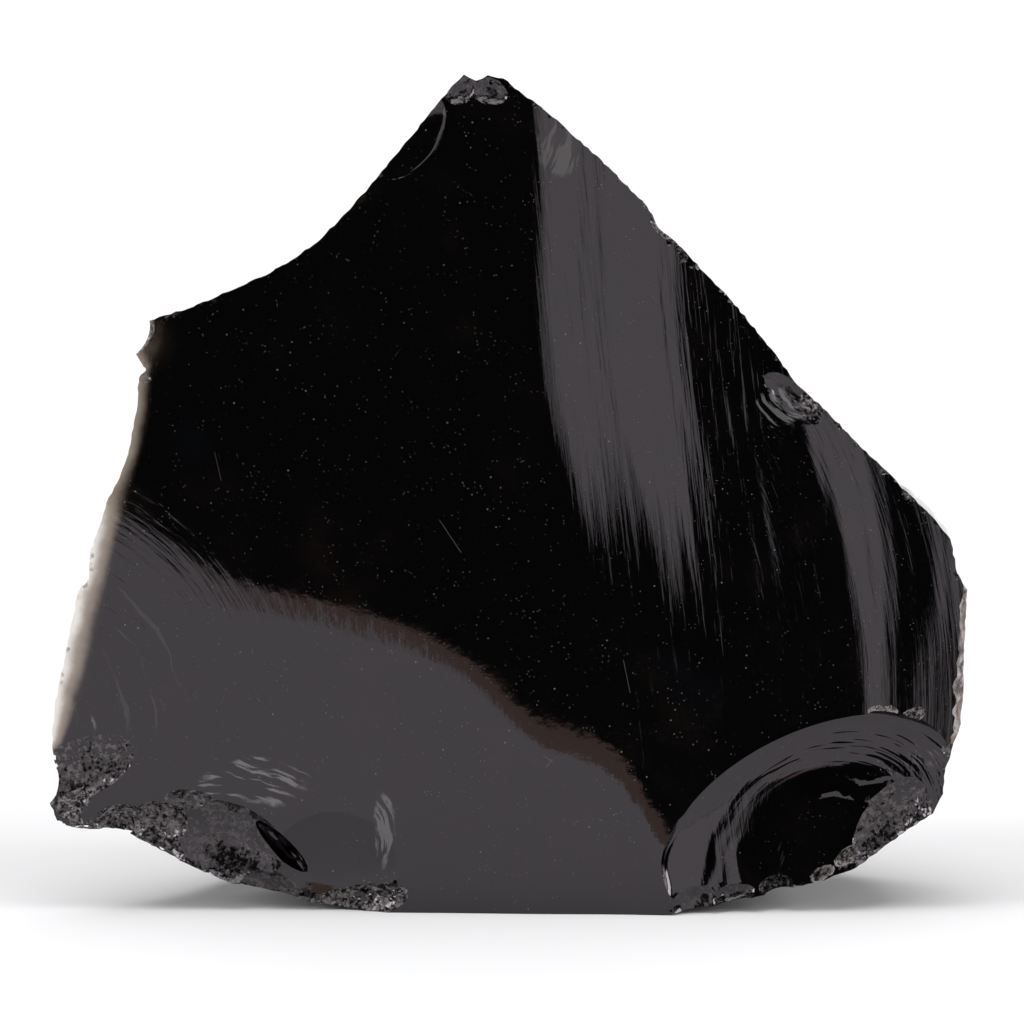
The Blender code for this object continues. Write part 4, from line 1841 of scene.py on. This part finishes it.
@dataclass
class Chunk:
    """The whole block: its blank, everything struck off it, and the marks its finish reads.

    Attributes:
        face: the mirror face.
        outline: the mirror face's outline.
        edge: wall left behind the mirror face's rim.
        cortex: the same wall beside the weathered right side.
        cortex_side: how the wall thickens from left to right.
        overlap: how far the blank reaches in front of the mirror face's lower edge.
        blank_depth: from the mirror face's lower edge to the blank's far end.
        back_shrink: size of the blank's far end beside the mirror face.
        rag_depth: how far behind the wall the outline's rags have died out.
        shrink_across: the place across, on the base, that the blank shrinks towards.
        scars: the broad bowls.
        flakes: the bites out of the mirror face.
        chip_runs: the small chips along the rim.
        chip_seed: which scatter of chips.
        hollow: the hollow behind the left edge.
        painted_edge_glow: where light through the stone is painted into the colour.
        weld: points closer than this are merged.
        sharp: the angle from which an arris is shaded sharp, in degrees.
    """

    face: MirrorFace = MirrorFace()
    outline: Outline = Outline()
    edge: float = 1.0
    cortex: float = 9.0
    cortex_side: Fade = Fade(52.0, 6.0)
    overlap: float = 6.0
    blank_depth: float = 73.0
    back_shrink: float = 0.80
    rag_depth: float = 1.8
    shrink_across: float = 5.0
    scars: tuple = (
        RimScar("scallop_back", -22.0, 89.6, 136.0, 41.0, 34.0, 60.0),
        RimScar("right_back", 30.0, 78.3, 44.5, 37.0, 40.0, 130.0),
        RimScar("cortex", 59.4, 31.0, 0.0, 111.0, 6.0, 1.0e5, Texture.WEATHERED),
        RimScar("left_underside", -31.0, 2.4, 254.0, 84.0, 26.0, 150.0),
        RimScar("right_underside", 43.0, 4.5, 293.0, 82.0, 22.0, 130.0),
        BackScar("main_back", -3.0, 42.0, 46.0, (-0.08, 0.93, 0.36), 170.0, 70.0),
        BackScar("left_back", -32.0, 31.0, 34.0, (-0.66, 0.74, 0.12), 110.0, 250.0),
        BackScar("low_right_back", 38.0, 36.0, 26.0, (0.60, 0.79, -0.08), 95.0, 20.0),
        BackScar("low_back", 2.0, 49.0, 9.0, (0.10, 0.86, -0.50), 80.0, 270.0),
        BackScar("right_side", 58.0, 19.0, 30.0, (0.93, 0.36, 0.10), 140.0, 200.0),
        BackScar("right_ridge", 23.0, 44.8, 38.0, (0.20, 0.80, 0.56), 52.0, 160.0, 100.0),
        BackScar("upper_ridge", 4.0, 33.2, 73.0, (0.10, 0.83, 0.55), 46.0, 90.0, 100.0),
        BackScar("left_ridge", -22.0, 38.6, 40.0, (-0.38, 0.91, 0.14), 58.0, 300.0, 100.0),
        BackScar("back_heel", -14.0, 49.5, 8.0, (-0.34, 0.86, -0.38), 40.0, 250.0, 90.0),
        BackScar("right_corner", 47.0, 30.6, 36.0, (0.66, 0.66, 0.36), 36.0, 30.0, 90.0),
        BackScar("hollow_ridge", -40.5, 22.6, 22.0, (-0.84, 0.52, -0.16), 44.0, 200.0, 90.0),
    )
    flakes: tuple = (
        Flake(
            "lower_right_scoop", 40.8, 10.2, 20.5, 14.4, 3.2, 26.0, 16.0, 0.35, 0.07, 3.4, detail=6
        ),
        Flake("scoop_corner", 49.2, 12.8, 9.0, 5.8, 3.35, 60.0, -10.0, 0.5, 0.04, 1.2, 0.2, 5),
        Flake("scoop_bite", 52.4, 19.2, 3.4, 2.2, 2.0, 62.0, crush=0.5),
        # Crush above 1 on these small flakes whitens their powder into painted glints.
        Flake("crushed_top", 49.0, 26.3, 2.0, 0.9, 0.9, -2.0, 0.0, 0.5, 0.18, 1.1, 1.4),
        Flake("crushed_top_right", 53.0, 25.8, 1.6, 0.9, 0.9, 18.0, 0.0, 0.5, 0.18, 1.1, 1.4),
        Flake("crushed_side", 32.6, 19.8, 2.8, 0.4, 0.6, 38.0, crush=1.0, detail=3),
        Flake("crushed_foot", 44.7, 7.6, 3.0, 1.5, 3.5, 36.0, 0.0, 0.5, 0.22, 1.3, 1.6),
        Flake("crushed_heel", 41.2, 5.4, 2.6, 1.2, 3.4, 30.0, 0.0, 0.5, 0.22, 1.1, 1.6),
        Flake("crushed_toe", 29.6, 7.4, 1.9, 0.8, 2.8, 8.0, 0.0, 0.5, 0.16, 1.1, 1.4),
        Flake("base_facet", 25.0, 3.0, 4.6, 3.2, 2.2, 48.0, 14.0, crush=0.05),
        Flake("base_lens", 29.6, 4.0, 4.4, 2.2, 3.0, 14.0, 10.0, ripple=0.04, crush=0.1),
        Flake("base_lens_right", 35.2, 3.9, 3.0, 1.8, 4.4, 10.0, ripple=0.04, crush=0.35),
        Flake("low_left_bowl", -22.6, 7.2, 8.2, 7.8, 1.4, 0.0, -7.0, 0.62, 0.012, 2.4, detail=5),
        Flake("low_left_step", -36.5, 9.0, 8.6, 5.4, 2.3, -22.0, -4.0, 0.62, 0.03, 1.6, 0.12, 5),
        Flake("low_left_hollow", -29.4, 8.4, 5.4, 1.4, 3.8, -44.0, ripple=0.08),
        Flake("low_left_shelf", -30.4, 3.6, 5.2, 2.6, 2.8, -18.0, 10.0, ripple=0.06, crush=0.15),
        Flake("heel_shelf", -20.4, 1.2, 7.6, 2.6, 2.2, 7.0, -8.0, ripple=0.08, crush=0.4, detail=5),
        Flake("corner_step", -44.2, 11.4, 4.6, 2.8, 1.9, -20.0, -6.0, crush=0.35),
        Flake("corner_step_high", -41.2, 14.4, 3.6, 1.7, 0.9, -8.0, crush=0.25),
        Flake("corner_step_low", -49.6, 12.0, 4.2, 2.4, 1.8, -4.0, 10.0, crush=0.45),
        Flake("left_foot", -56.0, 19.0, 7.6, 3.9, 0.85, 24.0, -4.0, 0.5, 0.02, crush=0.24),
        Flake("foot_corner", -56.6, 15.0, 3.0, 2.2, 0.7, 60.0, crush=0.6),
        Flake("left_corner", -48.6, 75.2, 3.6, 2.2, 1.6, 52.0, crush=0.3),
        Flake("edge_flake", 37.0, 66.2, 4.6, 2.0, 0.42, -40.0, 10.0, 0.62, 0.05, 0.7, 0.02, 5),
        Flake("edge_flake_bite", 39.4, 66.0, 1.6, 0.9, 0.9, -45.0, 0.0, 0.5, 0.16, 1.1, 1.3),
        Flake("slope_notch", 20.9, 89.0, 2.8, 1.6, 1.5, -45.0, crush=0.4),
        Flake("peak_chip_left", -6.0, 106.9, 2.4, 1.9, 1.0, 30.0, 4.0, 0.62, 0.10, 1.1, 0.1),
        Flake("peak_chip_right", -2.6, 106.7, 2.8, 1.7, 0.8, -20.0, 4.0, 0.62, 0.10, 1.1, 0.1),
        Flake("peak_fold", -13.4, 101.2, 6.4, 4.2, 0.40, 52.0, -3.0, 0.4),
    )
    chip_runs: tuple = (
        ChipRun((-6.6, 107.7), (-0.5, 108.2), 16, (0.4, 1.3), 1.0, 1.2, (0.0, 0.5)),
        ChipRun((-0.5, 108.2), (18.2, 91.6), 26, (0.25, 0.6), 0.3, 0.6, (0.1, 0.5)),
        ChipRun((18.2, 91.6), (25.7, 82.9), 22, (0.3, 1.1), 0.8, 1.0, (0.2, 0.9)),
        ChipRun((25.7, 82.9), (38.1, 68.1), 24, (0.25, 0.6), 0.3, 0.6, (0.1, 0.5)),
        ChipRun((38.1, 68.1), (57.9, 48.4), 64, (0.25, 0.9), 0.5, 0.9, (0.1, 0.9)),
        ChipRun((57.9, 48.4), (58.3, 22.0), 44, (0.3, 1.0), 0.7, 3.0, (0.3, 0.9)),
        ChipRun((58.3, 22.0), (26.0, 0.9), 84, (0.3, 1.4), 1.2, 6.5, (0.1, 1.0)),
        ChipRun((26.0, 0.9), (20.4, 0.0), 10, (0.3, 0.7), 0.5, 0.9, (0.1, 0.6)),
        ChipRun((-21.7, 0.5), (-44.6, 7.9), 60, (0.4, 1.7), 1.4, 4.0, (0.1, 0.8)),
        ChipRun((-44.6, 7.9), (-60.0, 15.2), 64, (0.4, 1.6), 1.8, 2.6, (0.2, 1.0)),
        ChipRun((-60.0, 15.2), (-55.9, 41.9), 30, (0.3, 0.9), 0.3, 0.8, (0.0, 0.4)),
        ChipRun((-55.9, 41.9), (-53.0, 50.6), 12, (0.3, 1.0), 0.4, 0.8, (0.0, 0.3)),
        ChipRun((-48.0, 67.0), (-46.6, 77.0), 26, (0.4, 1.3), 0.8, 1.4, (0.1, 0.6)),
        ChipRun((-46.6, 77.0), (-37.8, 80.1), 10, (0.25, 0.7), 0.3, 0.6, (0.1, 0.4)),
    )
    chip_seed: int = 23
    hollow: EdgeHollow = EdgeHollow()
    painted_edge_glow: PaintedEdgeGlow = PaintedEdgeGlow()
    weld: float = 0.002
    sharp: float = 16.0

    def wall(self, across: float) -> float:
        """Wall behind the rim: thin, and thicker beside the weathered right side."""
        return self.edge + (self.cortex - self.edge) * float(self.cortex_side.at(across))

    def narrowed(self, across: float, share: float) -> float:
        """A place across where the blank has this share of the outline's size."""
        return self.shrink_across + (across - self.shrink_across) * share

    def blank(self) -> bpy.types.Object:
        """The outline, drawn back and narrowed, its rags gone just behind the rim.

        Returns:
            The blank, which becomes the block.
        """
        bm = bmesh.new()
        front = self.face.front
        fine = np.array(self.outline.fine_points())
        even = self.outline.even_points(fine)
        bm.faces.new([bm.verts.new((x, front - self.overlap, z)) for x, z in fine])
        drawn = bmesh.ops.extrude_face_region(bm, geom=bm.faces[:])
        for vert in new_verts(drawn):
            vert.co.y = self.face.point(vert.co.x, vert.co.z).y + self.wall(vert.co.x)
        inner = new_faces(drawn)
        drawn = bmesh.ops.extrude_face_region(bm, geom=inner)
        for vert in new_verts(drawn):
            nearest = int(np.argmin(np.hypot(fine[:, 0] - vert.co.x, fine[:, 1] - vert.co.z)))
            part = self.rag_depth / (front + self.blank_depth - vert.co.y)
            share = 1.0 - (1.0 - self.back_shrink) * part
            vert.co.x = self.narrowed(even[nearest][0], share)
            vert.co.z = even[nearest][1] * share
            vert.co.y += self.rag_depth
        cap = new_faces(drawn)
        for vert in new_verts(bmesh.ops.extrude_face_region(bm, geom=cap)):
            vert.co.x = self.narrowed(vert.co.x, self.back_shrink)
            vert.co.z *= self.back_shrink
            vert.co.y = front + self.blank_depth
        bmesh.ops.delete(bm, geom=inner + cap, context="FACES_ONLY")
        return mesh_object("obsidian_block", bm)

    def cutters(self) -> list[bpy.types.Object]:
        """Every shape that is struck off the blank, in order.

        Returns:
            The cutters.
        """
        draw = random.Random(self.chip_seed)
        shapes = [self.face.cutter(*self.outline.extent())]
        shapes += [scar.shape(self.face, self.edge).cutter() for scar in self.scars]
        shapes.append(self.hollow.cutter(self.face))
        shapes += [flake.cutter(self.face) for flake in self.flakes]
        chips = []
        for run in self.chip_runs:
            chips += run.chips(self.outline, self.face, draw)
        return shapes + chip_cutters(chips)

    def strike(self, block: bpy.types.Object, cutters: list[bpy.types.Object]) -> None:
        """Cut shapes off the block and drop them.

        Args:
            block: the block, whose mesh is replaced.
            cutters: the shapes, which are removed.
        """
        for cutter in cutters:
            cut = block.modifiers.new(cutter.name, "BOOLEAN")
            cut.operation = "DIFFERENCE"
            cut.solver = "MANIFOLD"
            cut.object = cutter
        graph = bpy.context.evaluated_depsgraph_get()
        mesh = bpy.data.meshes.new_from_object(block.evaluated_get(graph))
        block.modifiers.clear()
        block.data = mesh
        for cutter in cutters:
            bpy.data.objects.remove(cutter, do_unlink=True)

    def clean(self, block: bpy.types.Object) -> None:
        """Merge doubled points and drop any loose crumb.

        Args:
            block: the block, whose mesh is cleaned.
        """
        bm = bmesh.new()
        bm.from_mesh(block.data)
        bmesh.ops.remove_doubles(bm, verts=bm.verts, dist=self.weld * MM)
        start = max(bm.verts, key=lambda vert: len(vert.link_edges))
        joined = {start}
        front = [start]
        while front:
            vert = front.pop()
            for edge in vert.link_edges:
                other = edge.other_vert(vert)
                if other not in joined:
                    joined.add(other)
                    front.append(other)
        crumbs = [vert for vert in bm.verts if vert not in joined]
        bmesh.ops.delete(bm, geom=crumbs, context="VERTS")
        bm.to_mesh(block.data)
        bm.free()

    def build(self) -> bpy.types.Object:
        """Strike the chunk from its blank, mark it, shade it and give it its finish.

        Returns:
            The finished block.
        """
        block = self.blank()
        self.strike(block, self.cutters())
        self.clean(block)
        self.painted_edge_glow.mark(block, self.face, self.outline)
        block.data.shade_smooth()
        block.data.set_sharp_from_angle(angle=math.radians(self.sharp))
        block.data.materials.clear()
        block.data.materials.append(BlackGlass().material())
        return block


# ---------------------------------------------------------------------------
# The studio
# ---------------------------------------------------------------------------


@dataclass(frozen=True)
class Softbox:
    """A soft light, as a patch of sky.

    Attributes:
        azimuth: its two sides, in radians from straight in front, positive to the right.
        elevation: its lower and upper edge, in radians.
        radiance: its brightness.
        blur: how soft its edges are, in radians.
        tint: its colour.
    """

    azimuth: tuple
    elevation: tuple
    radiance: float
    blur: float = 0.02
    tint: tuple = (1.0, 1.0, 1.0)

    def light(self, kit: NodeKit, azimuth: Shade, elevation: Shade) -> Shade:
        """What the softbox shines in a direction.

        Args:
            kit: the node maker.
            azimuth: the direction's azimuth.
            elevation: its elevation.

        Returns:
            The colour of its light.
        """
        half = self.blur / 2
        left, right = self.azimuth
        low, high = self.elevation
        inside = azimuth.rises(left - half, left + half) * azimuth.rises(right + half, right - half)
        inside = inside * elevation.rises(low - half, low + half)
        inside = inside * elevation.rises(high + half, high - half)
        bright = tuple(self.radiance * part for part in self.tint)
        return kit.mix(inside, (0.0, 0.0, 0.0), bright)


@dataclass
class Studio:
    """A white table under soft light, dark towards the viewer so that the glass shows black.

    Attributes:
        backdrop: brightness of the pale backdrop that the camera sees.
        gloom: brightness of the dark room between the softboxes.
        boxes: the softboxes.
        floor_size: length of the floor's side, in metres.
        floor_tone: the floor's colour.
        floor_roughness: its roughness.
    """

    backdrop: tuple = (0.965, 0.970, 0.980)
    gloom: tuple = (0.0045, 0.0045, 0.0045)
    boxes: tuple = (
        Softbox((-0.036, 0.17), (-0.30, 0.064), 0.62, 0.012, (1.0, 0.735, 0.58)),
        Softbox((-0.75, -0.036), (-0.30, 0.064), 0.98, 0.012),
        Softbox((0.20, 1.05), (0.0, 0.80), 0.50, 0.02),
        Softbox((0.255, 1.05), (0.0, 0.80), 0.66, 0.09),
        Softbox((-0.90, -0.46), (0.0, 0.80), 1.1, 0.04),
        Softbox((1.22, 1.64), (0.22, 0.62), 8.0, 0.08),
        Softbox((-1.60, -1.12), (0.22, 0.62), 8.0, 0.08),
        Softbox((2.10, 2.60), (0.08, 0.62), 1.1, 0.05),
        Softbox((-2.75, -2.20), (0.08, 0.62), 1.1, 0.05),
        Softbox((2.65, 3.2), (0.30, 0.70), 0.8, 0.05),
        Softbox((-4.0, 4.0), (1.02, 1.80), 2.7, 0.06),
    )
    floor_size: float = 10.0
    floor_tone: tuple = (0.83, 0.83, 0.84)
    floor_roughness: float = 0.9

    def floor(self) -> bpy.types.Object:
        """The white table top.

        Returns:
            Its object.
        """
        bm = bmesh.new()
        bmesh.ops.create_grid(bm, x_segments=1, y_segments=1, size=self.floor_size / 2 / MM)
        plane = mesh_object("floor", bm)
        paint = bpy.data.materials.new("white_table")
        kit = cleared(paint)
        values = {"Base Color": (*self.floor_tone, 1.0), "Roughness": self.floor_roughness}
        values["Specular IOR Level"] = 0.0
        matt = kit.node("ShaderNodeBsdfPrincipled", {}, values)
        kit.node("ShaderNodeOutputMaterial", {}, {"Surface": matt})
        plane.data.materials.append(paint)
        return plane

    def sky(self) -> bpy.types.World:
        """The light all round, by direction.

        Returns:
            The world that holds it.
        """
        world = bpy.data.worlds.new("studio_light")
        bpy.context.scene.world = world
        kit = cleared(world)
        heading = kit.node("ShaderNodeTexCoord", {}, {}, "Generated")
        parts = [kit.node("ShaderNodeSeparateXYZ", {}, {0: heading}, axis) for axis in "XYZ"]
        azimuth = parts[0].maths("ARCTAN2", parts[0], -parts[1])
        elevation = parts[2].maths("ARCSINE", parts[2])
        light = kit.mix(0.0, self.gloom, self.gloom)
        for box in self.boxes:
            light = kit.mix(1.0, light, box.light(kit, azimuth, elevation), "ADD")
        shine = kit.node("ShaderNodeBackground", {}, {"Color": light})
        pale = kit.node("ShaderNodeBackground", {}, {"Color": (*self.backdrop, 1.0)})
        seen = kit.node("ShaderNodeLightPath", {}, {}, "Is Camera Ray")
        both = kit.node("ShaderNodeMixShader", {}, {0: seen, 1: shine, 2: pale})
        kit.node("ShaderNodeOutputWorld", {}, {"Surface": both})
        return world

    def build(self) -> None:
        """Lay the floor and hang the light."""
        self.floor()
        self.sky()
        bpy.context.scene.view_settings.view_transform = "Standard"


@dataclass
class ViewPoint:
    """The camera, a little above the chunk and square to its mirror face.

    Attributes:
        aim: the point at the middle of the picture.
        distance: from the camera to that point.
        elevation: of the camera over the horizon, in degrees.
        width: what the picture takes in at that point.
        sensor: the camera's sensor width.
        reach: the nearest and the farthest that it sees, in metres.
    """

    aim: tuple = (0.65, -24.0, 52.5)
    distance: float = 975.0
    elevation: float = 8.0
    width: float = 133.1
    sensor: float = 36.0
    reach: tuple = (0.05, 30.0)

    def build(self) -> bpy.types.Object:
        """Place the camera.

        Returns:
            The camera.
        """
        lens = bpy.data.cameras.new("camera")
        lens.sensor_width = self.sensor
        lens.lens = self.sensor * self.distance / self.width
        lens.clip_start, lens.clip_end = self.reach
        camera = bpy.data.objects.new("camera", lens)
        bpy.context.scene.collection.objects.link(camera)
        tilt = math.radians(self.elevation)
        away = Vector((0.0, -math.cos(tilt), math.sin(tilt))) * self.distance
        camera.location = (Vector(self.aim) + away) * MM
        camera.rotation_euler = (math.radians(90.0) - tilt, 0.0, 0.0)
        bpy.context.scene.camera = camera
        return camera


def main() -> None:
    """Build the chunk in its studio and report each piece."""
    logging.basicConfig(level=logging.INFO, format="%(name)s: %(message)s")
    block = Chunk().build()
    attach(block, "root")
    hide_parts(NODE)
    block.data.calc_loop_triangles()
    triangles = len(block.data.loop_triangles)
    log.info("chunk: %d faces, %d triangles", len(block.data.polygons), triangles)
    Studio().build()
    log.info("studio: floor and light")
    ViewPoint().build()
    log.info("camera placed")


if __name__ == "__main__":
    main()
